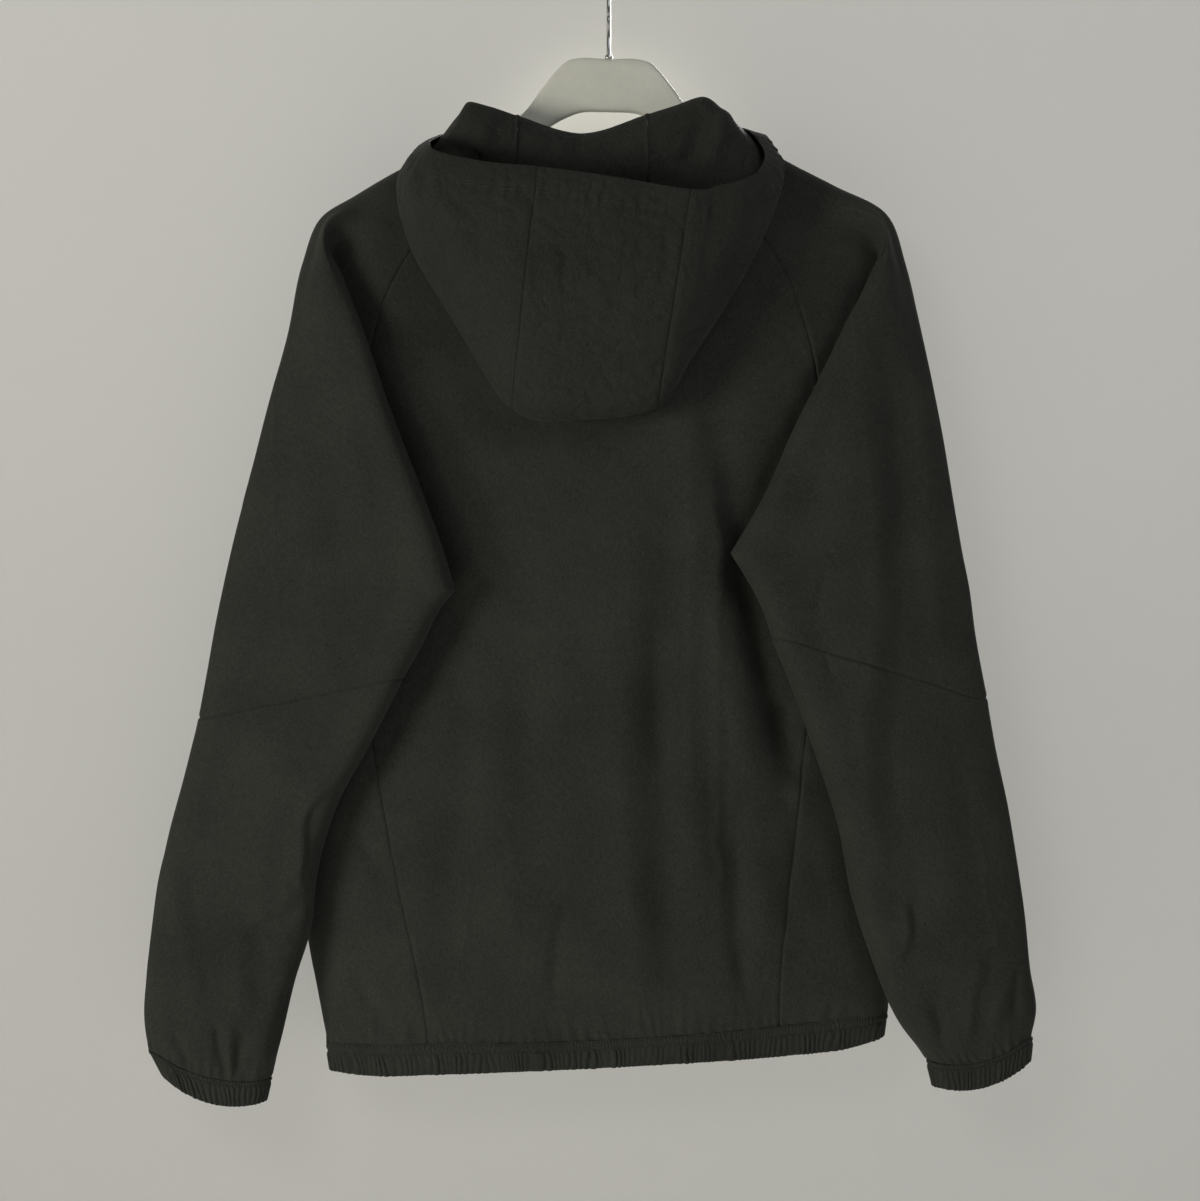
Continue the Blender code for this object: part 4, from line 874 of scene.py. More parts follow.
# What the back does beside the two long folds of the sleeves.
BACK_DIPS = creases("""
  hollow 24  2.6  378,330 398,380 420,430 444,490 466,545 484,596
  hollow 10 -1.2  872,256 849,320 823,376 793,435 763,499 736,550
""")
SLEEVE_CREASES = {
    LEFT: creases("""
  sharp  3 0.25  272,236 274,330 274,430 277,560 279,640 274,704
  sharp  3 0.15  245,575 226,660 205,770 190,872
  soft  22 -0.7  310,330 322,420 338,520 350,610
  soft  18  0.6  240,300 236,420 232,540
  sharp  3 0.25  290,720 278,745 263,770
  step   9  1.7  344,782 324,796 310,811 307,850 303,900
  soft   8 -1.2  307,904 285,915 266,928 243,947
  soft  10  0.8  250,915 278,902 300,890
  soft   9  0.7  262,952 278,944 296,934
  step  20  0.9  174,838 182,880 192,930 200,985 206,1025
  soft  12  0.8  232,940 242,985 250,1020
  soft   5 -0.8  212,1022 219,1046 224,1078
  soft   6 -0.9  248,1025 241,1050 233,1078
  soft   5  0.6  231,1020 231,1050 228,1080
  soft   6   -1  172,1028 184,1050 196,1072
  soft   7   -1  294,978 281,1020 266,1062
"""),
    RIGHT: creases("""
  step   36  2.9  858,260 868,340 882,440 888,560 886,656 878,740 886,820 905,890 906,960
  soft   12  0.7  918,330 924,450 932,580 940,700
  soft   20  0.7  838,380 842,480 838,600
  soft    5 -0.7  829,568 822,595 809,618
  step   10  1.7  908,895 911,930 905,950 884,970
  soft   14  0.9  864,860 874,905 880,945
  soft   20  0.8  936,770 944,860 946,950
  sharp   3 -0.5  822,652 827,664 832,678
  sharp 3.5 -0.5  858,650 868,662 890,676
  sharp   3  0.3  976,815 990,900 1001,975
  step   13  1.3  986,950 979,990 974,1025 969,1056
  soft    6 -0.9  1019,965 1016,990 1010,1020
  soft    6    1  1004,985 998,1010 992,1035
  soft    6 -0.7  934,995 938,1020 940,1048
  soft    9  0.8  918,975 922,1005 930,1040
  soft   10 -0.6  778,198 815,216 856,230
"""),
}
HOOD_CREASES = creases("""
  lap     5  0.55  535,283 541,266 553,245
  soft    5  0.45  545,290 552,270 562,250
  sharp 2.5 -0.45  597,220 596,232 597,247
  sharp 2.5 -0.54  604,222 614,215 626,208 646,203
  sharp 2.5  0.41  606,203 612,211 617,222
  sharp 2.5 -0.41  634,216 646,226 656,240
  sharp 2.5 -0.41  570,208 578,215 586,226
  sharp 2.5  -0.5  526,197 532,206 535,220
  sharp 2.5 -0.36  536,226 534,244 537,262
  sharp 2.5 -0.27  548,366 566,361 588,359 606,361
  sharp 2.5 -0.27  590,352 616,349 640,351 664,347
  sharp 2.5  0.23  560,352 586,348 604,344
  soft    6  -0.3  610,366 640,364 668,360
  sharp   3  0.27  532,378 560,372 585,374
  soft   11   0.6  450,196 452,230 470,275
  soft   11  -0.5  425,215 440,260 466,310
  soft    7  -0.3  560,238 566,270 560,300
  soft    9  0.35  595,262 600,300 598,330
  sharp 2.5 -0.31  583,248 590,262 592,282
  sharp 2.5 -0.27  468,234 484,246 506,252
  sharp 2.5  0.27  450,262 470,276 488,298
  soft    6  -0.4  664,232 666,262 660,292
  sharp 2.5 -0.36  674,214 682,226 684,244
  soft    8  -0.5  720,205 712,240 696,280
  sharp   3  0.36  402,196 412,181 420,170
  sharp   3 -0.45  414,192 424,182 432,174
  sharp   3  0.36  426,196 434,190 438,180
  sharp 2.5 -0.45  446,186 452,196 450,208
""")
HOOD_INSIDE_CREASES = creases("""
  soft  9   -1  704,108 697,135 684,170
  soft  9  1.1  724,106 722,135 708,168
  soft  8   -1  462,112 458,135 462,160
  soft  9    1  484,112 482,140 478,160
  soft 10 -0.6  572,138 580,160 584,178
  soft 10 -0.6  640,128 622,142 604,152
""")
FRONT_CREASES = creases("""
  soft  20 -3.6  -95,330 -104,430 -120,540
  soft  18  2.5  -60,420 -70,520 -66,640
  soft  18 -3.1  -150,560 -140,660 -150,780
  soft  16  2.2  -190,600 -184,700 -188,800
  soft  14 -2.5  -48,660 -56,750 -50,840
  sharp  3  0.5  -112,700 -108,770 -112,840
  soft  20 -3.4  84,340 96,450 90,560
  soft  16  2.4  58,360 52,460 60,560
  soft  18 -2.8  140,540 150,640 142,760
  soft  14  2.1  108,600 112,700 104,800
  lap    9  1.2  60,770 74,750 92,742
  soft  12 -2.2  44,640 38,730 44,830
  lap    8    1  -84,796 -68,780 -50,776
  soft  14 -2.1  186,600 182,700 186,790
""")
FAR_SLEEVE_CREASES = creases("""
  soft 15 -1.8  -262,330 -268,440 -274,560
  soft 12  1.4  -236,380 -244,470 -250,560
  soft 13 -1.6  -300,620 -306,720 -312,820
  lap   9  1.3  -330,700 -310,690 -286,694
  soft 12  1.3  -276,640 -282,730 -290,810
  soft 15 -1.8  230,320 240,430 246,540
  soft 12  1.4  206,360 214,450 222,530
  soft 13 -1.6  262,600 272,700 284,800
  lap   9  1.3  230,640 250,632 272,640
  soft 12  1.3  292,640 300,730 306,800
""")
# Puckers of the body above its hem: how far apart they are, how far up they reach, how high.
PANEL_GATHERS = 7.5, 15.0, 2.4
PANEL_STEPS = 16
# Columns of an upper sleeve between which its underarm row turns sharply.
FLAP_COLUMNS = 7, 11
# An upper sleeve is creased from one of its columns on, and down to one of its rows all across.
# The rest of it is folded away.
SHOWN_FROM, SHOULDER_ROWS = 8.6, 2.6


def turned(facing, start=0.15, soft=0.35):
    """How far a surface is turned to a side: 0 until it faces it by start, then soon 1."""
    return ease((facing - start) / soft)


def sided_relief(grid, outward, near, far, seed, near_share=1.0):
    """Creases of the side that faces the picture's camera and of the side that faces away."""
    facing = surface_normals(grid)[..., 1] * outward
    seen, hidden = turned(-facing) * near_share, turned(facing)
    relief = seen * crease_relief(picture(grid), near) + hidden * crease_relief(far_map(grid), far)
    places = far_map(grid)
    waves = 0.2 * undulation(places, 85, seed) + 0.12 * undulation(places, 30, seed + 1)
    return relief + waves * (seen + 1.4 * hidden)


def foot_line(grid):
    """How far along the last row each column is."""
    return lengths_along(grid, 1)[-1:]


def trimmed(grid, gap=0.12, edges=(1, 1, 1, 1)):
    """A fine grid whose seam edges stand back a little."""
    grid = grid.copy()
    pairs = ((grid[0], grid[1]), (grid[-1], grid[-2]), (grid[:, 0], grid[:, 1]), (grid[:, -1], grid[:, -2]))
    for (edge, inner), wanted in zip(pairs, edges):
        if wanted:
            edge += unit(inner - edge) * gap
    return grid


def panel(shape, rows_apart, columns_apart, seams=(True, True)):
    """A fine grid of a body panel, from the function that gives its points."""
    coarse = shape(np.arange(LAST_ROW + 1.0), np.arange(PANEL_STEPS + 1) / PANEL_STEPS)
    rows = places_for(typical(coarse, 0), rows_apart, multiple=INNER_STEP)
    shares = places_for(typical(coarse, 1), columns_apart, seams) / PANEL_STEPS
    return trimmed(shape(rows, shares), edges=(1, 1, *seams))


def make_back():
    grid = panel(back_grid, 4.2, 1.9)
    relief = sided_relief(grid, 1, BODY_CREASES + BACK_DIPS, (), 11)
    relief += gather_relief(grid[..., 0], height_over(grid), *PANEL_GATHERS, 21)
    return cloth("back_panel_cloth", grid, 1, relief, SHELL, grooves=(1, 0.5, 1, 1))


def make_front(side):
    grid = panel(lambda rows, shares: front_grid(side, rows, shares), 4.8, 2.2, (True, False))
    relief = sided_relief(grid, side, BODY_CREASES, FRONT_CREASES, 13 + side)
    relief += gather_relief(foot_line(grid), height_over(grid), *PANEL_GATHERS, 22 + side)
    return cloth(f"front_{SIDE_NAMES[side]}_cloth", grid, side, relief, SHELL, grooves=(1, 0.5, 1, 0))


def make_upper_sleeve(side):
    """Returns the piece and its last row before the creases, which the lower sleeve meets."""
    spread = [3.0] * 4 + [4.0] * 4 + [2.0] * 2 + [1.7] * 4 + [2.0] * 4 + [3.2] * 4
    grid, rows, columns = fine_grid(sleeve_grid(side), 3.8, spread, UNDERARM, *FLAP_COLUMNS)
    inner = rows <= UNDERARM
    for column, edge in ((0, back_edge), (-1, front_edge)):
        target = grid[:, column].copy()
        target[inner] = edge(side, rows[inner])
        snap(grid, column, target)
    grid = trimmed(grid, edges=(1, 0, 1, 1))
    row, column = rows[:, None], columns[None, :]
    shoulder = ease(1 - (row - SHOULDER_ROWS) / 0.8)
    shown = np.maximum(ease((column - SHOWN_FROM) / 0.8), shoulder)
    relief = sided_relief(grid, side, SLEEVE_CREASES[side], FAR_SLEEVE_CREASES, 31 + side, shown)
    relief *= shown
    facing = turned(-side * surface_normals(grid)[..., 1])
    relief += crease_relief(picture(grid), BACK_DIPS) * facing * (column < YOKE_STEPS + 0.6)
    return cloth(f"sleeve_upper_{SIDE_NAMES[side]}_cloth", grid, side, relief, SHELL), grid[-1]


def meet(grid, line, gap=0.12, reach=12.0, nearest=3.0):
    """Moves the first row of a fine grid up to another piece's edge, where that is near."""
    spans = np.diff(line, axis=0)
    step = np.zeros((grid.shape[1], 3))
    for column, point in enumerate(grid[0]):
        share = ((point - line[:-1]) * spans).sum(axis=1) / (spans**2).sum(axis=1)
        away = line[:-1] + np.clip(share, 0, 1)[:, None] * spans - point
        length = np.linalg.norm(away, axis=1)
        best = int(np.argmin(length))
        near = float(1 - ease(length[best] / nearest - 0.6))
        step[column] = away[best] * near * (1 - gap / max(length[best], gap))
    fade = 1 - ease(lengths_along(grid, 0) / reach)
    return grid + fade[..., None] * step


def make_lower_sleeve(side, elbow):
    spread = [2.6] * 4 + [1.8] * 2 + [1.4] * 4 + [1.8] * 4 + [2.6] * 3
    grid, _, _ = fine_grid(lower_sleeve_grid(side), 3.2, spread)
    grid = meet(trimmed(grid, edges=(0, 1, 1, 1)), elbow)
    relief = sided_relief(grid, side, SLEEVE_CREASES[side], FAR_SLEEVE_CREASES, 31 + side)
    relief += gather_relief(foot_line(grid), height_over(grid), 7.0, 13.0, 2.2, 51 + side)
    name = f"sleeve_lower_{SIDE_NAMES[side]}_cloth"
    return cloth(name, grid, side, relief, SHELL, grooves=(1, 0.4, 1, 1))


# Hood panels: piece, first and last place, and how far apart their columns stand.
HOOD_PANELS = (
    ("hood_side_left", 0, 8, 2.3),
    ("hood_centre", 8, 10, 1.9),
    ("hood_side_right", 10, 18, 2.3),
)
# The hood strips' row at their bottom fold.
HOOD_BOTTOM = 8
# The casing under the hood's lip, and how far apart its two lines of stitches are.
CASING, CASING_LINES = 20.0, 2.6
HEM_PUCKERS, HEM_CHANNEL, HEM_MIDDLE = 200, 7.0, 860.0
CUFF_PUCKERS, CUFF_CHANNEL = 50, 3.3
# Distances below a band's top edge at which its outside has rows.
HEM_MARKS = (0, 0.35, 0.8, 1.3, 2.2, 3.6, 5.0, 5.9, 6.5, 7.1, 7.7, 8.6, 10, 12, 14.5, 17, 19.5)
CUFF_MARKS = (0, 0.4, 0.9, 1.4, 2.0, 2.8, 3.3, 3.8, 4.4, 5.2, 6.5, 9, 11.5, 14, 16.5)


def bell(distance, width):
    """1 where a distance is nothing, and less beyond a width."""
    return np.exp(-((distance / width) ** 2))


def make_hood():
    """Three panels; returns their outer grids, whose last row is the lip."""
    trial = np.linspace(0, HOOD_PANELS[-1][2], 361)
    marks = np.stack([[hood_mark(part, place) for place in trial] for part in ("ridge", "bottom", "lip")])
    span = np.linalg.norm(np.diff(marks, axis=1), axis=-1).mean(axis=0)
    length = np.concatenate([[0], np.cumsum(span)])
    made = {}
    for name, first, last, spacing in HOOD_PANELS:
        ends = np.interp((first, last), trial, length)
        seams = (name != "hood_side_left", name != "hood_side_right")
        at = places_for([ends[1] - ends[0]], spacing, seams)
        coarse = hood_grid(np.interp(mix(ends[0], ends[1], at), length, trial))
        rows = places_for(typical(coarse, 0), 2.15, (True, False))
        grid = trimmed(smooth(coarse, rows), edges=(1, 0, *seams))
        below = rows[:, None] - HOOD_BOTTOM
        outside, inside = ease((below - 0.6) / 0.8), ease(1 - (below + 0.6) / 0.8)
        facing, spots, up = surface_normals(grid)[..., 1], picture(grid), height_over(grid)
        near_out, near_in = turned(facing, 0.1, 0.3), turned(-facing, 0.1, 0.3)
        relief = outside * near_out * crease_relief(spots, HOOD_CREASES)
        relief -= inside * near_in * crease_relief(spots, HOOD_INSIDE_CREASES)
        relief += 0.2 * undulation(far_map(grid), 60, 61) * outside + 0.12 * undulation(spots, 22, 62)
        # The casing under the lip is doubled cloth, drawn in by two lines of stitches.
        casing = ease((CASING + 1.0 - up) / 1.6)
        relief += bell(up - CASING, 9) * gather_relief(foot_line(grid), 3.0, 7.0, 10.0, 2.4, 63 + first)
        relief -= 0.6 * sum(bell(up - place, 0.9) for place in (CASING, CASING - CASING_LINES)) * outside
        # Beside the two long seams the seam allowance is felled: a flat raised strip inside.
        from_seam = lengths_along(grid, 1)
        if name == "hood_side_left":
            from_seam = from_seam[:, -1:] - from_seam
        if name != "hood_centre":
            relief -= 0.75 * inside * near_in * ease((6.4 - from_seam) / 0.9)
        half = 0.4 + 0.45 * casing * ease(up / 1.2 + 0.35)
        made[name] = cloth(name + "_cloth", grid, -1, relief, HOOD_SHADED_SHELL, half, 1, (1, 0, *seams))
    return made


def band(name, top, bottom, count, channel, shown_marks, seed):
    """A gathered band between two fine edge lines, with rounded uneven gathers."""
    down = bottom - top
    outward = unit(np.cross(down, unit(np.gradient(top, axis=0))))
    height = np.linalg.norm(down, axis=1, keepdims=True).mean()
    place = np.linspace(0, count, len(top))
    flat = np.stack([place, np.zeros_like(place)], axis=-1)
    uneven = 0.7 + 0.42 * undulation(flat, 3.0, seed)
    turns = 2 * math.pi * (place + 0.5 * undulation(flat, 8.0, seed + 1))
    shares = [mark / height for mark in shown_marks if mark < height - 2.4]
    shares += [1 - 1.6 / height, 1 - 0.8 / height, 1 - 0.25 / height, 1.0]
    outer, inner = [], []
    for share in shares:
        mark = share * height
        left = height - mark
        wander = undulation(np.stack([place, np.full_like(place, mark / 5)], axis=-1), 4.0, seed + 2)
        phase = turns + 1.1 * wander
        wave = (1 - (0.5 - 0.5 * np.cos(phase)) ** 2.5) * np.clip(uneven, 0.3, 1.25)
        small = 0.5 + 0.5 * np.cos(phase * 2.0 + 0.6)
        rise = ease((mark - channel) / 3.0)
        amount = 0.6 * small * (1 - rise) + 1.35 * wave * rise
        stitched = bell(mark - 1.0, 0.6) + bell(mark - channel, 0.6)
        round_off = math.sqrt(max(0.0, 1 - (1 - min(left / 1.6, 1.0)) ** 2))
        raised = 0.35 + 0.45 * math.sin(math.pi * min(mark / channel, 1)) * (mark < channel)
        amount = (amount + raised - 0.45 * stitched + 0.3) * round_off - 0.3
        fringe = 0.5 * wave * ease(mark / height) if left < 3 else 0 * wave
        outer.append(top + down * share + outward * amount[:, None] + unit(down) * fringe[:, None])
    for share in (0.0, 0.25, 0.5, 0.75, 1.0):
        tuck = 0.25 * (0.5 - 0.5 * np.cos(turns))[:, None] * (0 < share < 1)
        inner.append(top + down * share - outward * (0.8 - 0.5 * (share == 1.0) + tuck))
    outer, inner = np.array(outer), np.array(inner)
    made = link(name, *closed_wall(outer, inner, 1, 1), GATHERED, "gathered_cloth", 60)
    lay_weave(made, flat_places(outer), flat_places(inner))
    return made, outer, surface_normals(outer)


def make_hem():
    zip_edge = ZIP_TAPE_WIDTH + SEAM_GAP
    left_turn = front_turn_at(LEFT, CENTRE_FRONT - zip_edge, HEM_MIDDLE)
    right_turn = front_turn_at(RIGHT, CENTRE_FRONT + zip_edge, HEM_MIDDLE)
    shares = np.arange(HEM_PUCKERS * 7 + 1) / (HEM_PUCKERS * 7)
    turns = mix(left_turn, -right_turn, shares)
    side, turns = np.where(turns > 0, LEFT, RIGHT), np.abs(turns)
    x = body_point(side, turns, HEM_MIDDLE + 0 * turns)[:, 0]
    drops = (read(HEM, "top", x) + 0.1, read(HEM, "bottom", x))
    lines = [along(body_point(side, turns, drop), shares) for drop in drops]
    return band("hem_band_cloth", *lines, HEM_PUCKERS, HEM_CHANNEL, HEM_MARKS, 71)


def make_cuff(side):
    row = list(CUFFS["side"]).index(side)
    coarse = lower_sleeve_grid(side)
    ring = smooth(coarse[-1], np.linspace(0, len(coarse[-1]) - 1, 400))[::side]
    ring = ring + unit(np.mean(coarse[-1] - coarse[-2], axis=0)) * 0.2
    top = along(ring, np.linspace(0, 1, CUFF_PUCKERS * 8 + 1))
    ends = []
    for end in ("top_outer", "top_inner", "bottom_outer", "bottom_inner"):
        ends.append(np.array((CUFFS[end][row], CUFF_DEPTH_Y, -CUFFS[end + "_drop"][row])))
    top_middle, bottom_middle = (ends[0] + ends[1]) / 2, (ends[2] + ends[3]) / 2
    top_arm, bottom_arm = ends[0] - ends[1], ends[2] - ends[3]
    across = ((top - top_middle) @ unit(top_arm)) / np.linalg.norm(top_arm)
    bottom = bottom_middle + across[:, None] * bottom_arm
    bottom[:, 1] += (top[:, 1] - top_middle[1]) * CUFF_NARROWING
    bottom[:, 2] -= np.clip(1 - 4 * across**2, 0, 1) * CUFFS["bow"][row]
    name = f"cuff_{SIDE_NAMES[side]}_cloth"
    return band(name, top, bottom, CUFF_PUCKERS, CUFF_CHANNEL, CUFF_MARKS, 81 + row)


# Lines of stitches: the piece, which of its edges they follow and how far from it they lie.
STITCH_LINES = (
    ("hood_side_left", "foot", (CASING, CASING - CASING_LINES)),
    ("hood_centre", "foot", (CASING, CASING - CASING_LINES)),
    ("hood_side_right", "foot", (CASING, CASING - CASING_LINES)),
    ("hood_side_right", "first column", (1.9, 4.2)),
    ("hood_side_left", "last column", (1.9,)),
    ("hem_band", "top", (1.0, HEM_CHANNEL)),
    ("cuff_left", "top", (1.4,)),
    ("cuff_right", "top", (1.4,)),
    ("front_left", "last column", (2.6,)),
    ("front_right", "last column", (2.6,)),
)
# How far apart the zip's teeth are, and how far in front of the body's own depth they begin.
TOOTH_PITCH = 1.45
TOOTH_BASE = 0.5 + SEAM_GAP


def tube_faces(count, sides):
    """Faces of a closed bar whose points stand in rings of the given number of sides."""
    index = np.arange(count * sides).reshape(count, sides)
    return [quads(np.hstack([index, index[:, :1]]), True), index[:1, ::-1], index[-1:]]


def tube_between(path, radii, sides, lift):
    """Points and faces of a closed bar along a path."""
    path = np.asarray(path, float)
    tangent = unit(np.gradient(path, axis=0))
    across = unit(np.cross(tangent, lift))
    angle = (2 * math.pi * np.arange(sides) / sides)[:, None, None]
    ring = np.cos(angle) * across + np.sin(angle) * np.cross(across, tangent)
    points = path + ring * np.reshape(radii, (1, -1, 1))
    return points.transpose(1, 0, 2).reshape(-1, 3), tube_faces(len(path), sides)


def joined(parts):
    """Several closed bodies as one list of points and faces, grouped by face size."""
    points, groups, start = [], {}, 0
    for part_points, part_faces in parts:
        points.append(part_points)
        for group in part_faces:
            groups.setdefault(group.shape[1], []).append(group + start)
        start += len(part_points)
    return np.concatenate(points), [np.concatenate(group) for group in groups.values()]


def stitches(line, normals, pitch=2.7, long=2.0, radius=0.17):
    """Little thread bars along a line on the cloth, each sunk at its two ends."""
    total = lengths_along(line, 0)[-1]
    made = []
    for share in (np.arange(int(total / pitch)) + 0.15) * pitch / total:
        at = share + long / total * np.array((0, 0.3, 0.7, 1.0))
        path = along(line, at) + along(normals, at) * np.array((-0.12, 0.1, 0.1, -0.12))[:, None]
        made.append(tube_between(path, radius * np.array((0.7, 1, 1, 0.7)), 4, normals[0]))
    return made


def row_at(grid, normals, distance, from_end):
    """The line of a grid that runs across at a distance from its first row or its last."""
    away = lengths_along(grid, 0)
    if from_end:
        away = away[-1:] - away
        grid, normals, away = grid[::-1], normals[::-1], away[::-1]
    lines = [np.empty((grid.shape[1], 3)) for _ in range(2)]
    for line, values in zip(lines, (grid, normals)):
        for column, axis in np.ndindex(line.shape):
            line[column, axis] = np.interp(distance, away[:, column], values[:, column, axis])
    return lines[0], unit(lines[1])


def make_stitching(pieces):
    """All top stitching: hood casing and seams, hem, cuffs and the edges beside the zip."""
    bars = []
    for name, edge, distances in STITCH_LINES:
        _, grid, normals = pieces[name]
        if "column" in edge:
            grid, normals = grid.transpose(1, 0, 2), normals.transpose(1, 0, 2)
        for distance in distances:
            bars += stitches(*row_at(grid, normals, distance, edge in ("foot", "last column")))
    link("stitching", *joined(bars), THREAD, "shell_cloth", 80)


def make_zip():
    """Ribbed tapes, a closed coil and its stops."""
    drops = np.linspace(FRONT_EDGES["zip_drop"][0] + ZIP_START, ZIP_END_DROP, 315)
    depth = body_section(drops)[3]
    for side in (LEFT, RIGHT):
        name = f"zip_tape_{SIDE_NAMES[side]}"
        shares = np.linspace(0, 1, 9)
        x = CENTRE_FRONT + side * mix(SEAM_GAP / 2, ZIP_TAPE_WIDTH, shares)
        rib = 0.09 * np.cos(shares * 2 * math.pi * 4)[None, :]
        grid = np.stack(np.broadcast_arrays(x[None, :], depth[:, None] + rib, -drops[:, None]), axis=-1)
        flat = np.zeros(grid.shape[:2])
        made, _, _ = cloth(name + "_cloth", grid, 1, flat, TAPE, 0.32, 2, (0, 0, 0, 0), "zip_tape")
        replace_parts(made, name)
    bars = []
    angle = np.linspace(-0.62, 0.62, 7) * math.pi
    for number in range(int((ZIP_END_DROP - drops[0]) / TOOTH_PITCH) - 2):
        for side, shift in ((LEFT, 0.0), (RIGHT, 0.5)):
            drop = drops[0] + 1.5 + (number + shift) * TOOTH_PITCH
            y = np.interp(drop, drops, depth) + TOOTH_BASE
            x = CENTRE_FRONT + side * (1.15 - 1.3 * np.cos(angle))
            path = np.stack([x, y + (0.75 + 0.62 * np.sin(angle)), -drop + 0 * x], axis=-1)
            bars.append(tube_between(path, np.full(7, 0.3), 4, (0, 0, 1)))
    drop = drops[0] + 0.6
    y = np.interp(drop, drops, depth) + TOOTH_BASE + 0.75
    for side in (LEFT, RIGHT):
        path = [(CENTRE_FRONT + side * reach, y, -drop + 0.5) for reach in (0.5, 2.2)]
        bars.append(tube_between(path, (0.75, 0.75), 8, (0, 0, 1)))
    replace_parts(link("zip_coil", *joined(bars), COIL, "zip_tape", 60), "zip_chain")


def make_hanger():
    """The moulded arm with the ridge where its two mould halves meet, and its wire hook."""
    arm = np.linspace(HANGER_REACH, 0, 110)
    stations = np.concatenate([-arm[:-1], np.linspace(0, HANGER_REACH, 110)])
    sides = 32
    top, bottom, half = (read(HANGER, column, np.abs(stations)) for column in ("top", "bottom", "half"))
    angle = 2 * math.pi * (np.arange(sides) + 0.5) / sides
    across = np.copysign(np.abs(np.cos(angle)) ** HANGER_CORNERS, np.cos(angle))
    rise = np.copysign(np.abs(np.sin(angle)) ** HANGER_CORNERS, np.sin(angle))
    seam = 0.25 * bell(np.cos(angle), 0.06)
    height = ((bottom - top) / 2)[:, None]
    z = -((top + bottom) / 2)[:, None] + (height + seam * np.sign(rise)) * rise
    z = z - HANGER_TILT * stations[:, None]
    points = np.stack(np.broadcast_arrays(stations[:, None], half[:, None] * across, z), axis=-1)
    faces = tube_faces(len(stations), sides)
    made = link("hanger_moulding", points.reshape(-1, 3), faces, PLASTIC, "hanger_plastic", 55)
    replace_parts(made, "hanger")

    hump, wire = HANGER["top"][0], HOOK_WIRE / 2
    turns = [math.radians(mix(HOOK_START, HOOK_END, step / 20)) for step in range(21)]
    centre = wire - HOOK_RADIUS
    arc = [(0, HOOK_RADIUS * math.cos(turn), centre + HOOK_RADIUS * math.sin(turn)) for turn in turns]
    path = [(0, 0, -hump + 0.3), (0, 0, -STEM_TOP)]
    for step in range(1, 6):
        y, z = arc[0][1] * float(ease(step / 6)), mix(-STEM_TOP, arc[0][2], (step / 6) ** 0.92)
        path.append((0, y, z))
    path = np.array(path + arc)
    path = smooth(path, np.arange((len(path) - 1) * 5 + 1) / 5)
    path = np.concatenate([path, path[-1] + unit(path[-1] - path[-2]) * np.array([[0.5], [0.9]])])
    radii = np.full(len(path), wire)
    radii[-3:] = (wire, wire * 0.8, wire * 0.3)
    bars = [tube_between(path, radii, 20, (1, 0, 0))]
    heights = np.array((0.3, 0.6, 1.0, 2.6, 3.1, 3.5))
    collar = np.stack([0 * heights, 0 * heights, -hump + heights], axis=-1)
    bars.append(tube_between(collar, (2.8, 3.1, 3.2, 3.2, 3.0, 2.4), 28, (1, 0, 0)))
    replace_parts(link("hook_wire", *joined(bars), STEEL, "hook_steel", 60), "hook")


class Nodes:
    """Nodes of a material or the world, with short names for what is used again and again."""

    def __init__(self, owner, shader="Principled BSDF"):
        owner.use_nodes = True
        self.owner, self.tree = owner, owner.node_tree
        self.shader = self.tree.nodes[shader]

    def put(self, node, inputs):
        """Gives inputs of a node their values, or links other nodes' outputs to them."""
        for key, value in inputs.items():
            if isinstance(value, bpy.types.NodeSocket):
                self.tree.links.new(value, node.inputs[key])
            else:
                node.inputs[key].default_value = value

    def set(self, **inputs):
        self.put(self.shader, {key.replace("_", " "): value for key, value in inputs.items()})

    def node(self, kind, inputs=None, **settings):
        made = self.tree.nodes.new("ShaderNode" + kind)
        for key, value in settings.items():
            setattr(made, key, value)
        self.put(made, inputs or {})
        return made

    def math(self, operation, *values):
        return self.node("Math", dict(enumerate(values)), operation=operation).outputs[0]

    def noise(self, vector, scale, detail=2.0, stretch=(1, 1, 1), roughness=0.5):
        place = self.node("Mapping", {"Vector": vector, "Scale": stretch}).outputs[0]
        inputs = {"Vector": place, "Scale": scale, "Detail": detail, "Roughness": roughness}
        return self.node("TexNoise", inputs).outputs["Fac"]

    def bump(self, height, strength, distance, **after):
        inputs = {"Height": height, "Strength": strength, "Distance": distance, **after}
        return self.node("Bump", inputs).outputs[0]

    def where(self):
        return self.node("TexCoord").outputs["Object"]

    def shade(self, factor, colour, spread, low=0.3, high=0.7):
        """Colours the surface: dark where the factor is low and light where it is high."""
        ramp = self.node("ValToRGB", {0: factor})
        for element, place, share in zip(ramp.color_ramp.elements, (low, high), (1 - spread, 1 + spread)):
            element.position, element.color = place, (*tinted(colour, share), 1)
        self.set(Base_Color=ramp.outputs[0])

    def gloss(self, factor, share, roughness):
        self.set(Roughness=self.math("ADD", self.math("MULTIPLY", factor, share), roughness))


def tinted(colour, factor):
    return tuple(channel * factor for channel in colour)


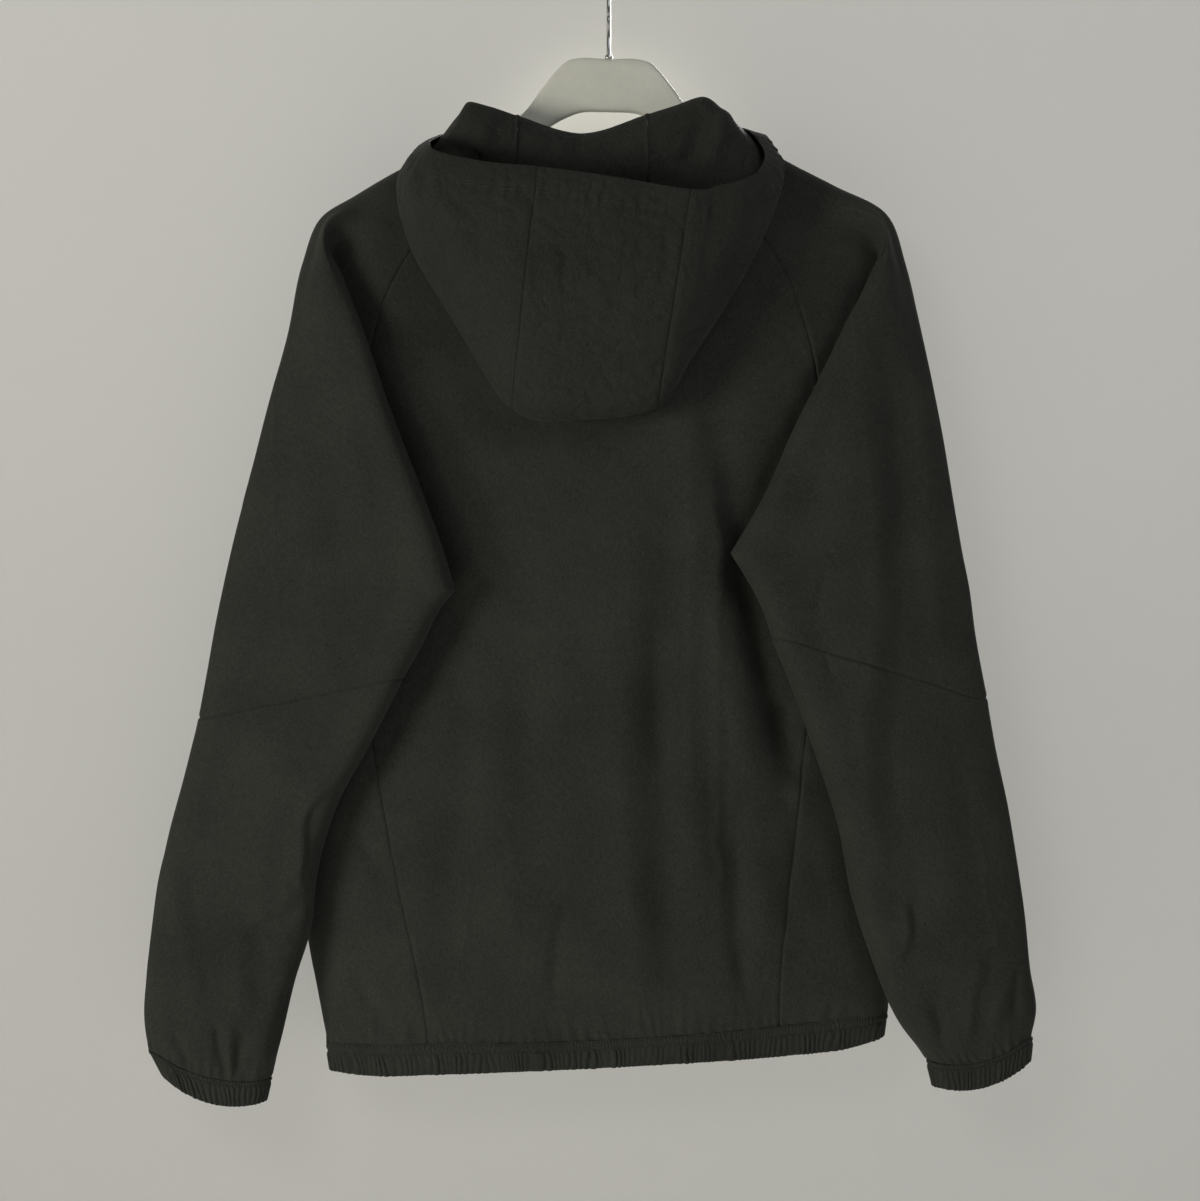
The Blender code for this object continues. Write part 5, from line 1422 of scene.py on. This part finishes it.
def cloth_material(name, colour, thread=0.00042, grain=0.42, creasing=0.5, wrinkles=0.1):
    """Plain-weave nylon: crossed threads, a mottled grain, fine crinkles and a soft sheen."""
    nodes = Nodes(bpy.data.materials.new(name))
    uv = nodes.node("UVMap", uv_map="cloth").outputs[0]
    split = nodes.node("SeparateXYZ", {0: uv}).outputs
    turns = [nodes.math("MULTIPLY", split[axis], math.pi / thread) for axis in (0, 1)]
    weave = nodes.math("MULTIPLY", *(nodes.math("SINE", turn) for turn in turns))
    place = nodes.where()
    fine = nodes.noise(place, 1000, 1.0, roughness=0.6)
    slub = nodes.noise(uv, 420, 2.0, (1, 0.45, 1))
    broad = nodes.math("SUBTRACT", nodes.noise(place, 16, 3.0), 0.5)
    mixed = nodes.math("MULTIPLY", fine, 0.75)
    for part, share in ((slub, 0.25), (broad, 0.35), (weave, 0.03)):
        mixed = nodes.math("ADD", mixed, nodes.math("MULTIPLY", part, share))
    nodes.shade(mixed, colour, grain, 0.32, 0.68)
    nodes.gloss(fine, 0.12, 0.72)
    bumps = nodes.bump(nodes.noise(place, 95, 3.0, roughness=0.55), creasing, 0.0009)
    pressed = nodes.math("ABSOLUTE", nodes.math("SUBTRACT", nodes.noise(place, 42, 3.0), 0.5))
    pressed = nodes.math("MINIMUM", nodes.math("MULTIPLY", pressed, 9.0), 1.0)
    for height, strength, depth in (pressed, wrinkles, 0.0012), (fine, 0.5, 0.00018), (weave, 0.5, 0.00009):
        bumps = nodes.bump(height, strength, depth, Normal=bumps)
    nodes.set(Normal=bumps, Sheen_Weight=0.05, Sheen_Roughness=0.5, Specular_IOR_Level=0.2)
    return nodes.owner


def plain_material(name, colour, roughness, grain_scale, grain, bump, metallic=0.0):
    """Moulded or metal finish with a faint grain in colour, gloss and surface."""
    nodes = Nodes(bpy.data.materials.new(name))
    place = nodes.where()
    noise = nodes.math("MULTIPLY", nodes.noise(place, grain_scale, 3.0), 0.5)
    wear = nodes.math("MULTIPLY", nodes.noise(place, grain_scale / 9, 4.0, roughness=0.6), 0.5)
    mixed = nodes.math("ADD", noise, wear)
    nodes.shade(mixed, colour, grain)
    nodes.gloss(mixed, 0.16, roughness - 0.08)
    nodes.set(Normal=nodes.bump(mixed, 0.4, bump), Metallic=metallic)
    return nodes.owner


def wall_nodes(colour):
    """Pale paint of the wall or the floor."""
    nodes = Nodes(bpy.data.materials.new("wall_paint"))
    place = nodes.where()
    nodes.shade(nodes.noise(place, 2.2, 3.0), colour, 0.015)
    grain = nodes.bump(nodes.noise(place, 900, 2.0), 0.15, 0.0004)
    nodes.set(Normal=grain, Roughness=0.9, Specular_IOR_Level=0.2)
    return nodes


def added(name, data):
    """A new object of the picture's scene."""
    made = bpy.data.objects.new(name, data)
    bpy.context.scene.collection.objects.link(made)
    return made


def plane(name, corners, material):
    mesh = bpy.data.meshes.new(name)
    mesh.from_pydata(corners, [], [list(range(len(corners)))])
    mesh.materials.append(material)
    made = added(name, mesh)
    made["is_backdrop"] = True
    return made


def group(name, members):
    made = bpy.data.collections.new(name)
    for member in members:
        made.objects.link(member)
    return made


def lamp(name, place, size, power, colour, receivers, blockers):
    data = bpy.data.lights.new(name, "AREA")
    data.shape = "DISK"
    data.size, data.energy, data.color = size, power, colour
    made = added(name, data)
    made.location = place
    aim = np.array(LAMP_TARGET) - np.array(place)
    made.rotation_euler = mathutils.Vector(aim).to_track_quat("-Z", "Y").to_euler()
    made.light_linking.receiver_collection = receivers
    made.light_linking.blocker_collection = blockers


def make_room():
    """A wall close behind the jacket, which is clear from its back, and a floor; all in metres."""
    paint, floor = wall_nodes((0.74, 0.73, 0.69)), wall_nodes((0.72, 0.71, 0.68))
    behind = paint.node("NewGeometry").outputs["Backfacing"]
    clear = paint.node("BsdfTransparent").outputs[0]
    choice = paint.node("MixShader", {0: behind, 1: paint.shader.outputs[0], 2: clear})
    paint.put(paint.tree.nodes["Material Output"], {"Surface": choice.outputs[0]})
    ends = ((-4, FLOOR_Z), (4, FLOOR_Z), (4, 2.6), (-4, 2.6))
    wall = plane("wall", [(x, WALL_Y, z) for x, z in ends], paint.owner)
    ends = ((-14, -14), (14, -14), (14, 14), (-14, 14))
    return wall, plane("floor", [(*end, FLOOR_Z) for end in ends], floor.owner)


def make_world():
    """A dim surround, which looks brighter to the camera than it lights."""
    nodes = Nodes(bpy.data.worlds.new("room"), "Background")
    seen = nodes.node("LightPath").outputs["Is Camera Ray"]
    nodes.set(Color=(1.0, 0.99, 0.975, 1), Strength=nodes.math("MULTIPLY_ADD", seen, 0.5, 0.07))
    bpy.context.scene.world = nodes.owner


def make_stage():
    wall, floor = make_room()
    make_world()
    lit = group("jacket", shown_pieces())
    below, room = group("below", [floor]), group("room", [wall, floor])
    # Name, place, size, power, colour, what it lights and what casts shadows in its light.
    lamp("key_light", (-2.4, -1.92, -0.65), 1.1, 44.5, (1.0, 0.97, 0.92), lit, lit)
    lamp("side_light", (1.3, -1.9, 1.0), 1.5, 14, (0.93, 0.96, 1.0), lit, lit)
    lamp("low_light", (-0.9, -1.8, -1.5), 1.5, 4, (1.0, 0.98, 0.95), lit, lit)
    lamp("zip_side_light", (0.5, 2.3, 0.5), 1.0, 62, (1.0, 0.99, 0.96), lit, lit)
    lamp("room_light_left", (-1.5, -2.2, 0.6), 1.7, 30, (1.0, 0.985, 0.95), room, room)
    lamp("room_light_right", (1.5, -2.2, 0.4), 1.7, 18, (0.95, 0.97, 1.0), room, room)
    lamp("floor_light", (0.0, 1.2, 2.6), 3.0, 48, (1.0, 0.985, 0.96), below, below)
    lamp("room_shade_light", (-1.0, -2.2, 0.6), 1.0, 3.5, (1.0, 0.98, 0.95), room, lit)
    bpy.context.scene.view_settings.view_transform = "Standard"


def make_camera():
    data = bpy.data.cameras.new("picture_camera")
    data.lens, data.sensor_width = CAMERA_LENS, CAMERA_SENSOR
    data.dof.use_dof = False
    made = added("picture_camera", data)
    made.location = (CAMERA_X * MM, CAMERA_Y * MM, CAMERA_Z * MM)
    made.rotation_euler = (math.radians(90), 0, 0)
    bpy.context.scene.camera = made


# The wall's depth, the floor's height and where all lamps point, in metres.
WALL_Y, FLOOR_Z = 0.052, -1.6
LAMP_TARGET = (0.0, 0.1, -0.45)
# Cut sizes: width, length and area of each flat piece, in metres and square metres.
CUTS = table("""
  back_panel          0.46  0.70   0.226
  front_left          0.30  0.69   0.162
  front_right         0.30  0.69   0.153
  sleeve_upper_left   0.42  0.50   0.130
  sleeve_upper_right  0.42  0.50   0.130
  sleeve_lower_left   0.32  0.33   0.080
  sleeve_lower_right  0.32  0.34   0.088
  hem_band            1.13  0.026  0.028
  cuff_left           0.25  0.022  0.0052
  cuff_right          0.25  0.022  0.0052
  hood_side_left      0.32  0.36   0.053
  hood_centre         0.15  0.52   0.055
  hood_side_right     0.32  0.36   0.048
""")
SHELL_COLOUR = (0.0250, 0.0270, 0.0208)
SHELL = cloth_material("shell_nylon", SHELL_COLOUR)
# The hood is sewn from the shell's own nylon. Its colour is darkened to 0.8 of the shell's as painted shade,
# standing in for the hood getting less light than the rest.
HOOD_SHADED_SHELL = cloth_material("hood_nylon_painted_shade", tinted(SHELL_COLOUR, 0.80), wrinkles=0.62)
GATHERED = cloth_material("gathered_nylon", tinted(SHELL_COLOUR, 0.95), creasing=0.35)
THREAD = plain_material("sewing_thread", tinted(SHELL_COLOUR, 0.8), 0.6, 2400, 0.2, 0.0001)
TAPE = cloth_material("zip_tape_weave", (0.020, 0.021, 0.018), 0.0006, 0.12, 0.1)
COIL = plain_material("zip_coil_nylon", (0.022, 0.023, 0.020), 0.38, 900, 0.12, 0.00005)
METAL = plain_material("zip_lacquer", (0.06, 0.06, 0.055), 0.34, 700, 0.3, 0.00004, 1.0)
PLASTIC = plain_material("hanger_satin", (0.70, 0.70, 0.60), 0.42, 260, 0.05, 0.0001)
STEEL = plain_material("hook_bright_steel", (0.62, 0.62, 0.60), 0.24, 380, 0.08, 0.00003, 1.0)

upper_left, elbow_left = make_upper_sleeve(LEFT)
upper_right, elbow_right = make_upper_sleeve(RIGHT)
pieces = {
    "back_panel": make_back(),
    "front_left": make_front(LEFT),
    "front_right": make_front(RIGHT),
    "sleeve_upper_left": upper_left,
    "sleeve_upper_right": upper_right,
    "sleeve_lower_left": make_lower_sleeve(LEFT, elbow_left),
    "sleeve_lower_right": make_lower_sleeve(RIGHT, elbow_right),
    "hem_band": make_hem(),
    "cuff_left": make_cuff(LEFT),
    "cuff_right": make_cuff(RIGHT),
    **make_hood(),
}
for node, (made, _, _) in pieces.items():
    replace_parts(made, node)
make_stitching(pieces)
make_zip()
make_hanger()
for node in ("zip_slider", "zip_pull"):
    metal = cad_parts[node]
    metal.data.materials.clear()
    metal.data.materials.append(METAL)
    bevel = metal.modifiers.new("edges", "BEVEL")
    bevel.width, bevel.segments = 0.00025, 2
make_camera()
make_stage()
